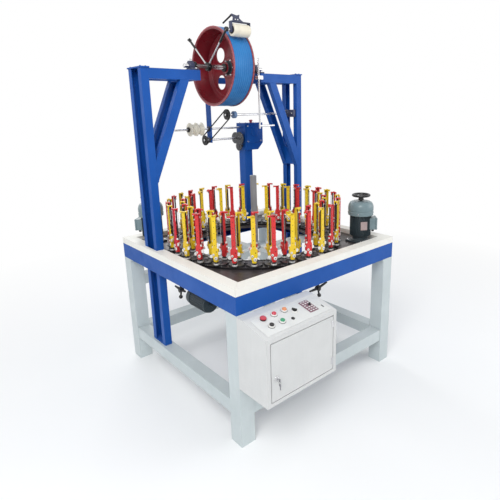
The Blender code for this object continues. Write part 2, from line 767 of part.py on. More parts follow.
def build_braces():
    """Each brace is two inclined channels cut off at the column and under the beam."""
    top_z = BEAM_BOTTOM - SEAT_GAP
    start_x = COLUMN_INNER - SEAT_GAP
    rise = top_z - BRACE_FOOT_Z
    slope = math.hypot(BRACE_RUN, rise)
    drop = BRACE_WEB * slope / BRACE_RUN
    width = BRACE_WEB * slope / rise
    for side, sx in (("left", -1), ("right", 1)):

        def strip(offset, thick):
            """A strip along the brace, between two offsets from its inner edge."""
            up_a, up_b = offset * drop, (offset + thick) * drop
            out_a, out_b = offset * width, (offset + thick) * width
            return [
                (sx * start_x, BRACE_FOOT_Z + up_a),
                (sx * (start_x - BRACE_RUN + out_a), top_z),
                (sx * (start_x - BRACE_RUN + out_b), top_z),
                (sx * start_x, BRACE_FOOT_Z + up_b),
            ]

        wall = CHANNEL_WALL / BRACE_WEB
        solids = []
        for y, reach in ((GANTRY_FRONT, 1), (GANTRY_BACK, -1)):
            web_y = y if reach == 1 else y - CHANNEL_WALL
            flange_y = y if reach == 1 else y - CHANNEL_FLANGE
            solids.append(plate(strip(0, 1), CHANNEL_WALL, xz_plane(web_y)))
            solids.append(plate(strip(0, wall), CHANNEL_FLANGE, xz_plane(flange_y)))
            solids.append(plate(strip(1 - wall, wall), CHANNEL_FLANGE, xz_plane(flange_y)))
        foot_x = sorted((sx * start_x, sx * (start_x - GANTRY_PLATE)))
        foot = block(foot_x, (GANTRY_FRONT, GANTRY_BACK), (BRACE_FOOT_Z + 0.01, BRACE_FOOT_Z + drop))
        head_x = sorted((sx * (start_x - BRACE_RUN + 0.002), sx * (start_x - BRACE_RUN + width)))
        head = block(head_x, (GANTRY_FRONT, GANTRY_BACK), (top_z - GANTRY_PLATE, top_z))
        part(f"gantry_brace_{side}", fused(solids[0], *solids[1:], foot, head), BLUE)


def build_drum():
    """The drum's section from its near lip to its far flange, turned about X."""
    inner = DRUM_LAGGING_RADIUS - DRUM_SHELL
    web = DRUM_WEB_OFFSET
    bore = SHAFT_RADIUS + BORE_CLEARANCE
    hub_end = DRUM_WIDTH
    hub_start = hub_end - DRUM_HUB_LENGTH
    profile = [
        (DRUM_LIP_RADIUS, 0),
        (DRUM_LIP_RADIUS, DRUM_LIP_WIDTH),
        (DRUM_LAGGING_RADIUS, DRUM_LIP_WIDTH),
        (DRUM_LAGGING_RADIUS, DRUM_WIDTH - DRUM_FLANGE_WIDTH),
        (DRUM_FLANGE_RADIUS, DRUM_WIDTH - DRUM_FLANGE_WIDTH),
        (DRUM_FLANGE_RADIUS, DRUM_WIDTH),
        (inner, DRUM_WIDTH),
        (inner, web + DRUM_WEB),
        (DRUM_STEP_RADIUS, web + DRUM_WEB),
        (DRUM_HUB_RADIUS, web + DRUM_WEB),
        (DRUM_HUB_RADIUS, hub_end),
        (bore, hub_end),
        (bore, hub_start),
        (DRUM_HUB_RADIUS, hub_start),
        (DRUM_HUB_RADIUS, web),
        (DRUM_STEP_RADIUS, web),
        (DRUM_STEP_RADIUS, web - DRUM_STEP),
        (inner, web - DRUM_STEP),
        (inner, 0),
    ]
    place = along_x(DRUM_NEAR, DRUM_AXIS_Y, DRUM_AXIS_Z)
    drum = turned(profile, 40, place)
    holes = []
    for index in range(DRUM_HOLE_COUNT):
        angle = math.tau * (index + 0.5) / DRUM_HOLE_COUNT
        y = DRUM_AXIS_Y + DRUM_HOLE_CIRCLE * math.cos(angle)
        z = DRUM_AXIS_Z + DRUM_HOLE_CIRCLE * math.sin(angle)
        holes.append(rod((DRUM_NEAR + web - 0.05, y, z), (DRUM_FAR + 0.05, y, z), DRUM_HOLE_RADIUS, 20))
    centre = (DRUM_NEAR, DRUM_AXIS_Y, DRUM_AXIS_Z)
    part("take_up_drum", cut(drum, *holes), RED, centre, smooth=True)


def pillow_block(x):
    """A bearing block across both channels of a beam, with a round boss for the shaft."""
    low = GANTRY_TOP + SEAT_GAP
    span = (x - PILLOW_WIDTH / 2, x + PILLOW_WIDTH / 2)
    depth = (GANTRY_FRONT + PILLOW_INSET, GANTRY_BACK - PILLOW_INSET)
    foot = block(span, depth, (low, low + PILLOW_FOOT))
    near = (span[0] + LAP, DRUM_AXIS_Y, DRUM_AXIS_Z)
    boss = rod(near, (span[1] - LAP, DRUM_AXIS_Y, DRUM_AXIS_Z), PILLOW_BOSS_RADIUS, 20)
    return fused(foot, boss)


def roller_centre():
    reach = DRUM_FLANGE_RADIUS + ROLLER_RADIUS + ROLLER_LIFT
    angle = math.radians(ROLLER_ANGLE_DEG)
    return DRUM_AXIS_Y + reach * math.cos(angle), DRUM_AXIS_Z + reach * math.sin(angle)


def roller_span():
    low = DRUM_NEAR + DRUM_LIP_WIDTH + SWING_GAP
    return low, low + ROLLER_LENGTH


def build_drum_shaft():
    """The dead shaft with its blocks, collars, two spread rods and the roller's bracket."""
    y, z = DRUM_AXIS_Y, DRUM_AXIS_Z
    solids = [
        pillow_block(LEFT_BEAM_END - PILLOW_WIDTH / 2),
        pillow_block(RIGHT_BEAM_END + PILLOW_WIDTH / 2),
    ]
    hub_far = DRUM_FAR + COLLAR_GAP
    hub_near = DRUM_FAR - DRUM_HUB_LENGTH - COLLAR_GAP
    solids.append(rod((hub_far, y, z), (hub_far + COLLAR_WIDTH, y, z), COLLAR_RADIUS))
    solids.append(rod((hub_near - COLLAR_WIDTH, y, z), (hub_near, y, z), COLLAR_RADIUS))
    rod_x = DRUM_NEAR - ROD_HUB_OFFSET
    solids.append(rod((rod_x - COLLAR_WIDTH, y, z), (rod_x + COLLAR_WIDTH, y, z), COLLAR_RADIUS))
    roller_y, roller_z = roller_centre()
    left_angle = math.radians(180 - ROLLER_ANGLE_DEG)
    eye = (rod_x, y + ROD_LENGTH * math.cos(left_angle), z + ROD_LENGTH * math.sin(left_angle))
    solids.append(rod((rod_x, y, z), eye, ROD_RADIUS, 10))
    solids.append(ball(eye, ROD_EYE_RADIUS))
    solids.append(rod((rod_x, y, z), (rod_x, roller_y, roller_z), ROD_RADIUS, 10))
    low, high = roller_span()
    cheeks = (low - ROLLER_END_GAP - BRACKET_WALL, high + ROLLER_END_GAP)
    top = roller_z + ROLLER_RADIUS + ROLLER_LIFT
    for x in cheeks:
        cheek = block(
            (x, x + BRACKET_WALL),
            (roller_y - BRACKET_HALF_WIDTH, roller_y + BRACKET_HALF_WIDTH),
            (roller_z - BRACKET_HALF_WIDTH, top + LAP),
        )
        solids.append(cheek)
    pin_left = (rod_x - ROLLER_PIN_REACH, roller_y, roller_z)
    pin_right = (cheeks[1] + BRACKET_WALL + LAP, roller_y, roller_z)
    solids.append(rod(pin_left, pin_right, ROLLER_PIN_RADIUS, 12))
    solids.append(rod(pin_left, (cheeks[0] + LAP, roller_y, roller_z), ROD_EYE_RADIUS, 12))
    yoke = block(
        (cheeks[0], cheeks[1] + BRACKET_WALL),
        (roller_y - BRACKET_HALF_WIDTH, roller_y + BRACKET_HALF_WIDTH),
        (top, top + BRACKET_WALL),
    )
    solids.append(yoke)
    tail_x = (cheeks[0], cheeks[0] + BRACKET_TAIL * 2)
    tail_y = (roller_y + BRACKET_HALF_WIDTH - BRACKET_WALL, roller_y + BRACKET_HALF_WIDTH)
    solids.append(block(tail_x, tail_y, (top, top + BRACKET_RISE)))
    shaft = rod((SHAFT_LEFT, y, z), (SHAFT_RIGHT, y, z), SHAFT_RADIUS, 20)
    part("drum_shaft", fused(shaft, *solids), STEEL)


def build_press_roller():
    y, z = roller_centre()
    low, high = roller_span()
    bore = ROLLER_PIN_RADIUS + BORE_CLEARANCE
    profile = [
        (ROLLER_RADIUS - 0.002, 0),
        (ROLLER_RADIUS, 0.003),
        (ROLLER_RADIUS, ROLLER_LENGTH - 0.003),
        (ROLLER_RADIUS - 0.002, ROLLER_LENGTH),
        (bore, ROLLER_LENGTH),
        (bore, 0),
    ]
    roller = turned(profile, 24, along_x(low, y, z))
    part("press_roller", roller, IVORY, (low, y, z), smooth=True)


def build_take_up_drive():
    half = DRIVE_POST_SIZE / 2
    back = RIM_INNER - LAP
    post_y = (back - DRIVE_POST_SIZE, back)
    post_x = (DRIVE_POST_X - half, DRIVE_POST_X + half)
    part("drive_post", block(post_x, post_y, (BED_TOP + SEAT_GAP, DRIVE_BOX_BOTTOM - SEAT_GAP)), BLUE)
    left = post_x[0]
    right = left + DRIVE_BOX_WIDTH
    c = DRIVE_BOX_CHAMFER
    outline = [
        (left, DRIVE_BOX_BOTTOM),
        (right - c, DRIVE_BOX_BOTTOM),
        (right, DRIVE_BOX_BOTTOM + c),
        (right, DRIVE_BOX_TOP),
        (left, DRIVE_BOX_TOP),
    ]
    box_y = DRIVE_LINE_Y - DRIVE_BOX_DEPTH / 2
    part("drive_box", plate(outline, DRIVE_BOX_DEPTH, xz_plane(box_y)), BLUE)
    hang_low = HANGER_X - HANGER_THICKNESS / 2
    hang = (hang_low, hang_low + HANGER_THICKNESS)
    y = DRIVE_LINE_Y
    bar = block(
        hang,
        (y - HANGER_WIDTH / 2, y + HANGER_WIDTH / 2),
        (HANGER_BOTTOM, ARM_Z - ARM_SIZE / 2 - SEAT_GAP),
    )
    eye = rod(
        (hang[0] - EYE_RELIEF, y, GUIDE_SHAFT_Z),
        (hang[1] + EYE_RELIEF, y, GUIDE_SHAFT_Z),
        GUIDE_SHAFT_RADIUS + SEAT_GAP,
        12,
    )
    low_eye = rod(
        (hang[0] - EYE_RELIEF, y, LOWER_PULLEY_Z),
        (hang[1] + EYE_RELIEF, y, LOWER_PULLEY_Z),
        GEAR_STUB_RADIUS + SEAT_GAP,
        12,
    )
    part("hanger_bar", cut(bar, eye, low_eye), BLUE)
    across = block(
        (hang[0] - EYE_RELIEF, ARM_X + ARM_SIZE / 2),
        (y - ARM_SIZE / 2, y + ARM_SIZE / 2),
        (ARM_Z - ARM_SIZE / 2, ARM_Z + ARM_SIZE / 2),
    )
    forward = block(
        (ARM_X - ARM_SIZE / 2, ARM_X + ARM_SIZE / 2),
        (GANTRY_BACK + SEAT_GAP, y),
        (ARM_Z - ARM_SIZE / 2, ARM_Z + ARM_SIZE / 2),
    )
    part("rear_arm", fused(across, forward), BLUE)
    shaft = rod(
        (GUIDE_SHAFT_LEFT, y, GUIDE_SHAFT_Z),
        (left - SEAT_GAP, y, GUIDE_SHAFT_Z),
        GUIDE_SHAFT_RADIUS,
        12,
    )
    collars = []
    for start, sign in ((GUIDE_PULLEY_RIGHT - GUIDE_PULLEY_LENGTH, -1), (GUIDE_PULLEY_RIGHT, 1)):
        near = start + sign * COLLAR_GAP
        far = near + sign * GUIDE_COLLAR_WIDTH
        collars.append(
            rod(
                (min(near, far), y, GUIDE_SHAFT_Z),
                (max(near, far), y, GUIDE_SHAFT_Z),
                GUIDE_COLLAR_RADIUS,
                12,
            ),
        )
    part("guide_shaft", fused(shaft, *collars), STEEL)
    build_guide_pulley()
    build_change_gears(left)


def build_guide_pulley():
    """An ivory pulley with two grooves that turns on the guide shaft."""
    length = GUIDE_PULLEY_LENGTH
    outer = GUIDE_PULLEY_RADIUS
    bore = GUIDE_SHAFT_RADIUS + BORE_CLEARANCE
    profile = [(outer * 0.6, 0), (outer * 0.85, 0.004)]
    for groove in range(2):
        start = length * (0.06 + 0.47 * groove)
        end = start + length * 0.41
        middle = (start + end) / 2
        profile += [(outer, start), (outer - GUIDE_GROOVE, middle), (outer, end)]
    profile += [(outer * 0.6, length), (bore, length), (bore, 0)]
    low = GUIDE_PULLEY_RIGHT - length
    centre = (low, DRIVE_LINE_Y, GUIDE_SHAFT_Z)
    part("guide_pulley", turned(profile, 24, along_x(*centre)), IVORY, centre, smooth=True)


def build_change_gears(box_left):
    """The change gears on the box's left face, with the stub that carries the lower pulley."""
    y = DRIVE_LINE_Y
    face = box_left - SEAT_GAP
    stub = rod(
        (BELT_X - SPROCKET_WIDTH, y, LOWER_PULLEY_Z),
        (face, y, LOWER_PULLEY_Z),
        GEAR_STUB_RADIUS,
        12,
    )
    pulley = rod(
        (BELT_X - SPROCKET_WIDTH / 2, y, LOWER_PULLEY_Z),
        (BELT_X + SPROCKET_WIDTH / 2, y, LOWER_PULLEY_Z),
        SPROCKET_RADIUS,
        20,
    )
    solids = [pulley]
    for index, (offset, radius) in enumerate(CHANGE_GEARS):
        x = face - CHANGE_GEAR_SPACING - CHANGE_GEAR_STEP * index
        near = (x - CHANGE_GEAR_WIDTH, y + offset, LOWER_PULLEY_Z)
        solids.append(rod(near, (x, y + offset, LOWER_PULLEY_Z), radius, 20))
    reach = BEARING_SIZE / 2
    plate_z = (LOWER_PULLEY_Z - reach, LOWER_PULLEY_Z + reach)
    solids.append(block((face - CHANGE_GEAR_SPACING - LAP, face), (y - reach, y + reach), plate_z))
    part("change_gears", fused(stub, *solids), BLACK)


def build_cross_shaft():
    """The cross shaft under the drum, its sprocket, and its bearing on the right column."""
    y, z = DRUM_AXIS_Y, CROSS_SHAFT_Z
    right = COLUMN_INNER - SEAT_GAP
    shaft = rod((CROSS_SHAFT_LEFT, y, z), (right - 0.004, y, z), CROSS_SHAFT_RADIUS, 12)
    half = SPROCKET_WIDTH / 2
    sprocket = rod((BELT_X - half, y, z), (BELT_X + half, y, z), SPROCKET_RADIUS, 20)
    collar = rod((BELT_X + 0.055, y, z), (BELT_X + 0.080, y, z), 0.026, 12)
    bearing = block(
        (right - 0.03, right),
        (GANTRY_FRONT + 0.01, GANTRY_BACK - 0.01),
        (z - BEARING_SIZE / 2, z + BEARING_SIZE / 2),
    )
    part("cross_shaft", fused(shaft, sprocket, collar, bearing), STEEL)


def build_belt():
    """One belt loop round the upper sprocket and the lower pulley."""
    inner = SPROCKET_RADIUS + SEAT_GAP
    outer = inner + BELT_THICKNESS
    upper = Vector((DRUM_AXIS_Y, CROSS_SHAFT_Z))
    lower = Vector((DRIVE_LINE_Y, LOWER_PULLEY_Z))
    along = lower - upper
    base = math.atan2(along.y, along.x)

    def loop(radius):
        points = []
        for centre, middle in ((upper, base + math.pi), (lower, base)):
            for step in range(9):
                angle = middle - math.pi / 2 + math.pi * step / 8
                points.append((centre.x + radius * math.cos(angle), centre.y + radius * math.sin(angle)))
        return points

    half = SPROCKET_WIDTH / 2
    solid = plate(loop(outer), SPROCKET_WIDTH, yz_plane(BELT_X - half))
    hole = plate(
        loop(inner / math.cos(math.pi / 16)),
        SPROCKET_WIDTH * 3,
        yz_plane(BELT_X - half - SPROCKET_WIDTH),
    )
    part("drive_belt", cut(solid, hole), RUBBER)


def ribbed_outline():
    """A round outline with upright cooling ribs."""
    outline = []
    for rib in range(MOTOR_RIB_COUNT):
        for share, radius in (
            (0.0, MOTOR_RADIUS),
            (0.4, MOTOR_RADIUS),
            (0.5, MOTOR_CORE),
            (0.9, MOTOR_CORE),
        ):
            angle = math.tau * (rib + share) / MOTOR_RIB_COUNT
            outline.append((radius * math.cos(angle), radius * math.sin(angle)))
    return outline


def build_motors():
    base = BED_TOP + SEAT_GAP
    cover_top = MOTOR_BODY_TOP + FAN_COVER_HEIGHT
    bore = WHEEL_SHAFT_RADIUS + SLIDE_GAP
    for side, sx, sy in (("right", 1, -1), ("left", -1, 1)):
        x, y = sx * MOTOR_OFFSET, sy * MOTOR_OFFSET
        place = Matrix.Translation((x, y, base))
        half = MOTOR_FLANGE / 2
        flange = block((-half, half), (-half, half), (0, MOTOR_FLANGE_THICKNESS))
        neck = rod(
            (0, 0, MOTOR_FLANGE_THICKNESS - LAP),
            (0, 0, MOTOR_NECK_TOP + LAP),
            MOTOR_NECK_RADIUS,
            20,
        )
        ribs = plate(
            ribbed_outline(),
            MOTOR_BODY_TOP - MOTOR_NECK_TOP,
            Matrix.Translation((0, 0, MOTOR_NECK_TOP)),
        )
        profile = [
            (0, MOTOR_BODY_TOP - LAP),
            (FAN_COVER_RADIUS, MOTOR_BODY_TOP - LAP),
            (FAN_COVER_RADIUS, cover_top - FAN_COVER_BEVEL),
            (FAN_COVER_RADIUS - FAN_COVER_BEVEL, cover_top),
            (0, cover_top),
        ]
        cover = turned(profile[::-1], 28)
        socket = rod((0, 0, cover_top - WHEEL_SHAFT_REACH - SLIDE_GAP), (0, 0, cover_top + 0.01), bore, 16)
        near = MOTOR_RADIUS - 0.012
        terminal = block(
            (near, near + TERMINAL_BOX_DEPTH),
            (-TERMINAL_BOX_SIZE / 2, TERMINAL_BOX_SIZE / 2),
            (TERMINAL_BOX_Z, TERMINAL_BOX_Z + TERMINAL_BOX_HEIGHT),
        )
        turn = Matrix.Rotation(math.atan2(sy, sx), 4, "Z")
        casing = cut(fused(ribs, neck, cover, terminal), socket)
        motor = fused(flange, moved(casing, turn))
        part(f"motor_{side}", moved(motor, place), MOTOR)
        build_handwheel(side, x, y, base + cover_top)


def build_handwheel(side, x, y, cover_top):
    z = cover_top + WHEEL_LIFT
    ring = []
    for step in range(6):
        angle = math.tau * step / 6
        ring.append(
            (WHEEL_RADIUS - WHEEL_RIM_RADIUS * (1 - math.cos(angle)), WHEEL_RIM_RADIUS * math.sin(angle)),
        )
    rim = turned(ring, 20)
    hub = rod((0, 0, -0.014), (0, 0, 0.014), WHEEL_HUB_RADIUS, 12)
    shaft = rod((0, 0, -WHEEL_LIFT - WHEEL_SHAFT_REACH), (0, 0, 0), WHEEL_SHAFT_RADIUS, 12)
    spokes = []
    reach = WHEEL_RADIUS - WHEEL_RIM_RADIUS
    for index in range(WHEEL_SPOKES):
        angle = math.tau * index / WHEEL_SPOKES
        spokes.append(rod((0, 0, 0), (reach * math.cos(angle), reach * math.sin(angle), 0), 0.005, 8))
    wheel = fused(hub, shaft, *spokes, rim)
    part(f"handwheel_{side}", moved(wheel, Matrix.Translation((x, y, z))), BLACK, (x, y, z), smooth=True)


def cabinet_outline(inset):
    """The cabinet's side outline in Y and Z, drawn in by a wall's thickness."""
    back = FRONT - SEAT_GAP - inset
    front = FRONT - CABINET_DEPTH + inset
    lift = inset * 1.25
    return [
        (back, CABINET_BOTTOM + inset),
        (back, CABINET_TOP - inset),
        (FRONT - CABINET_STRIP, CABINET_TOP - inset),
        (front, CABINET_FRONT_TOP - lift),
        (front, CABINET_BOTTOM + inset),
    ]


def door_box():
    """The door opening in X and Z."""
    left = -HALF_TABLE + DOOR_MARGIN_X
    right = -HALF_TABLE + CABINET_WIDTH - DOOR_MARGIN_X
    return left, right, CABINET_BOTTOM + DOOR_MARGIN_BOTTOM, CABINET_FRONT_TOP - DOOR_MARGIN_TOP


def build_cabinet():
    left = -HALF_TABLE
    shell = plate(cabinet_outline(0), CABINET_WIDTH, yz_plane(left))
    hollow = plate(
        cabinet_outline(CABINET_WALL),
        CABINET_WIDTH - 2 * CABINET_WALL,
        yz_plane(left + CABINET_WALL),
    )
    low_x, high_x, low_z, high_z = door_box()
    front = FRONT - CABINET_DEPTH
    opening = block((low_x, high_x), (front - 0.05, front + CABINET_WALL * 2), (low_z, high_z))
    part("cabinet_body", cut(shell, hollow, opening), CABINET_GREY)
    build_door(front)
    build_panel()


def build_door(front):
    low_x, high_x, low_z, high_z = door_box()
    gap = DOOR_GAP
    leaf = block((low_x + gap, high_x - gap), (front, front + DOOR_THICKNESS), (low_z + gap, high_z - gap))
    hinge_x = high_x - gap - HINGE_RADIUS
    solids = []
    for share in (0.12, 0.80):
        z = low_z + (high_z - low_z) * share
        solids.append(rod((hinge_x, front, z), (hinge_x, front, z + 0.04), HINGE_RADIUS, 12))
    lock_x = low_x + gap + 0.035
    lock_z = low_z + LOCK_HEIGHT
    solids.append(
        rod((lock_x, front + 0.004, lock_z), (lock_x, front - LOCK_REACH, lock_z), LOCK_RADIUS, 12),
    )
    key_z = (lock_z - KEY_WIDTH / 2, lock_z + KEY_WIDTH / 2)
    solids.append(
        block((lock_x - 0.0015, lock_x + 0.0015), (front - KEY_REACH, front - LOCK_REACH + 0.002), key_z),
    )
    part("cabinet_door", fused(leaf, *solids), CABINET_GREY, (hinge_x, front, low_z))


def build_panel():
    """The sloping control plate with its buttons, lying on the cabinet's slope."""
    back = Vector((FRONT - CABINET_STRIP, CABINET_TOP))
    front = Vector((FRONT - CABINET_DEPTH, CABINET_FRONT_TOP))
    run = (back - front).normalized()
    tilt = math.atan2(run.y, run.x)
    middle = (back + front) / 2
    x = -HALF_TABLE + CABINET_WIDTH / 2
    place = Matrix.Translation((x, middle.x, middle.y)) @ Matrix.Rotation(tilt, 4, "X")
    low = SEAT_GAP
    width, length = PANEL_WIDTH / 2, PANEL_LENGTH / 2
    sheet = block((-width, width), (-length, length), (low, low + PANEL_THICKNESS))
    top = low + PANEL_THICKNESS
    solids = []
    for across, up, radius in PANEL_BUTTONS:
        solids.append(rod((across, up, low + SLIDE_GAP), (across, up, top + BUTTON_HEIGHT), radius, 14))
    solids.append(block(KEYPAD_ACROSS, KEYPAD_UP, (low + SLIDE_GAP, top + KEYPAD_THICKNESS)))
    across, up, radius = KEYPAD_KNOB
    solids.append(rod((across, up, low + SLIDE_GAP), (across, up, top + BUTTON_HEIGHT), radius, 12))
    part("control_panel", moved(fused(sheet, *solids), place), CABINET_GREY)


def build_under_motor():
    """A small motor that hangs along Y under the left side of the band."""
    x, z = UNDER_MOTOR_X, UNDER_MOTOR_Z
    front = UNDER_MOTOR_FRONT
    back = front + UNDER_MOTOR_BODY
    body = rod((x, front, z), (x, back, z), UNDER_MOTOR_RADIUS, 20)
    cover = rod(
        (x, back - LAP, z),
        (x, back + UNDER_COVER_LENGTH, z),
        UNDER_COVER_RADIUS,
        20,
        UNDER_MOTOR_RADIUS,
    )
    shaft = rod((x, front - UNDER_SHAFT_REACH, z), (x, front + LAP, z), UNDER_SHAFT_RADIUS, 12)
    half = UNDER_MOUNT_WIDTH / 2
    depth = (front + UNDER_MOUNT_INSET, back - UNDER_MOUNT_INSET)
    mount = block((x - half, x + half), depth, (z, BAND_BOTTOM - SEAT_GAP))
    part("under_motor", fused(body, cover, shaft, mount), MOTOR)


def build_hand_knob(side, spot, arms, along_y):
    """A clamp knob with two tapered arms and a ball, on a stem under the band."""
    x, y = spot

    def place(across, rise):
        """A point beside the hub, across its own face."""
        return (x + across, y, KNOB_Z + rise) if along_y else (x, y + across, KNOB_Z + rise)

    half = KNOB_HUB_LENGTH / 2
    offset = Vector((0, half, 0)) if along_y else Vector((half, 0, 0))
    centre = Vector(place(0, 0))
    hub = rod(centre - offset, centre + offset, KNOB_HUB_RADIUS, 14)
    stem = rod(place(0, 0), (x, y, BAND_BOTTOM - SEAT_GAP), KNOB_STEM_RADIUS, 12)
    solids = [stem]
    for across, rise in arms:
        solids.append(rod(place(0, 0), place(across, rise), KNOB_ARM_RADIUS, 10, KNOB_TIP_RADIUS))
    solids.append(rod(place(0, 0), place(*KNOB_BALL_SPOT), KNOB_TIP_RADIUS, 10))
    solids.append(ball(place(*KNOB_BALL_SPOT), KNOB_BALL_RADIUS))
    part(f"hand_knob_{side}", fused(hub, *solids), BLACK)


def build_lever_rod():
    """The upright lever rod and its cross rod, clamped to the end of the right beam."""
    upright = rod((LEVER_X, LEVER_Y, LEVER_BOTTOM), (LEVER_X, LEVER_Y, LEVER_TOP), LEVER_RADIUS, 12)
    across = rod((LEVER_X, LEVER_Y, LEVER_ARM_Z), (LEVER_ARM_END, LEVER_Y, LEVER_ARM_Z), LEVER_RADIUS, 12)
    right = RIGHT_BEAM_END - SEAT_GAP
    reach = LEVER_RADIUS + LAP
    low = BEAM_BOTTOM + BEAM_DEPTH / 2 - LEVER_CLAMP_HEIGHT / 2
    depth = (LEVER_Y - reach, LEVER_Y - reach + LEVER_CLAMP_DEPTH)
    clamp = block((LEVER_X - reach, right), depth, (low, low + LEVER_CLAMP_HEIGHT))
    part("lever_rod", fused(upright, across, clamp), STEEL)


def main():
    build_legs()
    build_rails()
    build_band()
    build_rim()
    build_bed()
    build_ring()
    build_centre()
    build_columns()
    build_beams()
    build_braces()
    build_drum()
    build_drum_shaft()
    build_press_roller()
    build_take_up_drive()
    build_cross_shaft()
    build_belt()
    build_motors()
    build_cabinet()
    build_under_motor()
    build_hand_knob("front", FRONT_KNOB_SPOT, FRONT_KNOB_ARMS, True)
    build_hand_knob("left", LEFT_KNOB_SPOT, LEFT_KNOB_ARMS, False)
    build_lever_rod()
    for mesh in [mesh for mesh in bpy.data.meshes if mesh.users == 0]:
        bpy.data.meshes.remove(mesh)
    for curve in [curve for curve in bpy.data.curves if curve.users == 0]:
        bpy.data.curves.remove(curve)


main()
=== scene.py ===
"""Looks of the net braiding machine: finishes, fine detail, light and camera over the CAD frame.

Sizes are in metres. Each sub-assembly is measured from the middle of the table, and
`Workshop.add` moves its pieces to the shared frame.
"""

from __future__ import annotations

import logging
import math
from dataclasses import dataclass
from enum import Enum
from typing import Sequence

import bmesh
import bpy
from mathutils import Matrix, Quaternion, Vector


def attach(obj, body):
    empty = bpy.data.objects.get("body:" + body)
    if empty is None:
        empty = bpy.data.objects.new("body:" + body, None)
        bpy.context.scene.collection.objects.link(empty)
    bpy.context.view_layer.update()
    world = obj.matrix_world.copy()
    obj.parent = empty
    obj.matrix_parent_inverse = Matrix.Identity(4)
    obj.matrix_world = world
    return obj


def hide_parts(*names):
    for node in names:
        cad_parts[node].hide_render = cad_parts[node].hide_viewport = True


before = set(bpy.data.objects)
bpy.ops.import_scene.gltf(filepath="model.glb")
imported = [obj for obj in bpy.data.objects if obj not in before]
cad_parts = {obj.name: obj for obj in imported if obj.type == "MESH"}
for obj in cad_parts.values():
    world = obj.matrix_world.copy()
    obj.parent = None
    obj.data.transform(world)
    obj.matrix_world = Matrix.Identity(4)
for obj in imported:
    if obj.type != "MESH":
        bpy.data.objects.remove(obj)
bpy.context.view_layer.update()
LOG = logging.getLogger("net_braiding_machine")

Point = Sequence[float]
Outline = Sequence[tuple[float, float]]
Spots = Sequence[tuple[Point, Point]]
Mesh, Tree, Socket = bpy.types.Mesh, bpy.types.NodeTree, bpy.types.NodeSocket
IDENTITY = Matrix.Identity(4)
TABLE_SHIFT = Matrix.Translation((0.0, 0.1385, 0.0))
FRAME_BODY = "machine_frame"
UP, DOWN, FORWARD = (0, 0, 1), (0, 0, -1), (0, -1, 0)
CORNERS = [(sx, sy) for sx in (-1, 1) for sy in (-1, 1)]
TO_FRONT = Matrix.Rotation(math.pi / 2, 4, "X")
BEAD_RADIUS = 0.0026


class Pattern(Enum):
    """How a finish is broken up over the surface."""

    PAINT = "paint"
    CAST = "cast"
    BRUSHED = "brushed"
    OILED = "oiled"
    MOULDED = "moulded"
    BANDED = "banded"
    RUBBER = "rubber"


class Axis(Enum):
    """The axis that a turned piece lies along, as the turn that brings +Z to it."""

    X = (math.pi / 2, "Y")
    Y = (-math.pi / 2, "X")
    Z = (0.0, "Z")

    def matrix(self, spot: Point) -> Matrix:
        """Turns +Z to this axis and moves the origin to a spot.

        Args:
            spot: where the turned piece starts.

        Returns:
            The placement matrix.
        """
        angle, about = self.value
        return Matrix.Translation(spot) @ Matrix.Rotation(angle, 4, about)


def polar(radius: float, angle: float) -> tuple[float, float]:
    """Gives the point at a radius and an angle.

    Args:
        radius: its distance from the origin.
        angle: its angle in radians.

    Returns:
        Its two coordinates.
    """
    return radius * math.cos(angle), radius * math.sin(angle)


def circle(count: int, radius: float, phase: float = 0.0) -> list[tuple[float, float]]:
    """Spreads points evenly round a circle.

    Args:
        count: how many there are.
        radius: the circle's radius.
        phase: the place of the first one, in steps.

    Returns:
        The points in order.
    """
    return [polar(radius, math.tau * (step + phase) / count) for step in range(count)]


def across_x(spot: Point) -> Matrix:
    """Stands an outline up across X, with its own X along Y and its own Y along Z.

    Args:
        spot: where its origin goes.

    Returns:
        The placement matrix.
    """
    return Matrix.Translation(spot) @ Matrix(((0, 0, 1, 0), (1, 0, 0, 0), (0, 1, 0, 0), (0, 0, 0, 1)))


class Wiring:
    """Adds and links nodes in one tree."""

    def __init__(self, tree: Tree) -> None:
        """Keeps the shader or geometry node tree to work on."""
        self.tree = tree

    def add(
        self, kind: str, inputs: dict[int | str, object] | None = None, **props: object
    ) -> bpy.types.Node:
        """Adds one node.

        Args:
            kind: the node's type name.
            inputs: a value, or a socket to link from, for each input.
            props: settings of the node itself.

        Returns:
            The new node.
        """
        node = self.tree.nodes.new(kind)
        for name, value in props.items():
            setattr(node, name, value)
        for key, value in (inputs or {}).items():
            if isinstance(value, Socket):
                self.tree.links.new(value, node.inputs[key])
            else:
                node.inputs[key].default_value = value
        return node

    def maths(self, operation: str, first: object, second: object, clamp: bool = False) -> Socket:
        """Adds a Math node.

        Args:
            operation: what it does.
            first: the first value or socket.
            second: the second value or socket.
            clamp: whether the result is kept between 0 and 1.

        Returns:
            The result's socket.
        """
        return self.add(
            "ShaderNodeMath", {0: first, 1: second}, operation=operation, use_clamp=clamp
        ).outputs[0]

    def blend(self, share: object, first: object, second: object) -> Socket:
        """Mixes two colours.

        Args:
            share: the share of the second colour.
            first: the first colour or socket.
            second: the second colour or socket.

        Returns:
            The mixed colour's socket.
        """
        one, two = (value if isinstance(value, Socket) else (*value, 1.0) for value in (first, second))
        return self.add("ShaderNodeMix", {"Factor": share, 6: one, 7: two}, data_type="RGBA").outputs[2]

    def span(self, value: object, low: float, high: float, start: float = 0.0, end: float = 1.0) -> Socket:
        """Maps a value to a new range.

        Args:
            value: the value or socket between start and end.
            low: the result at start.
            high: the result at end.
            start: the lowest value read.
            end: the highest value read.

        Returns:
            The result's socket.
        """
        return self.add("ShaderNodeMapRange", {0: value, 1: start, 2: end, 3: low, 4: high}).outputs[0]


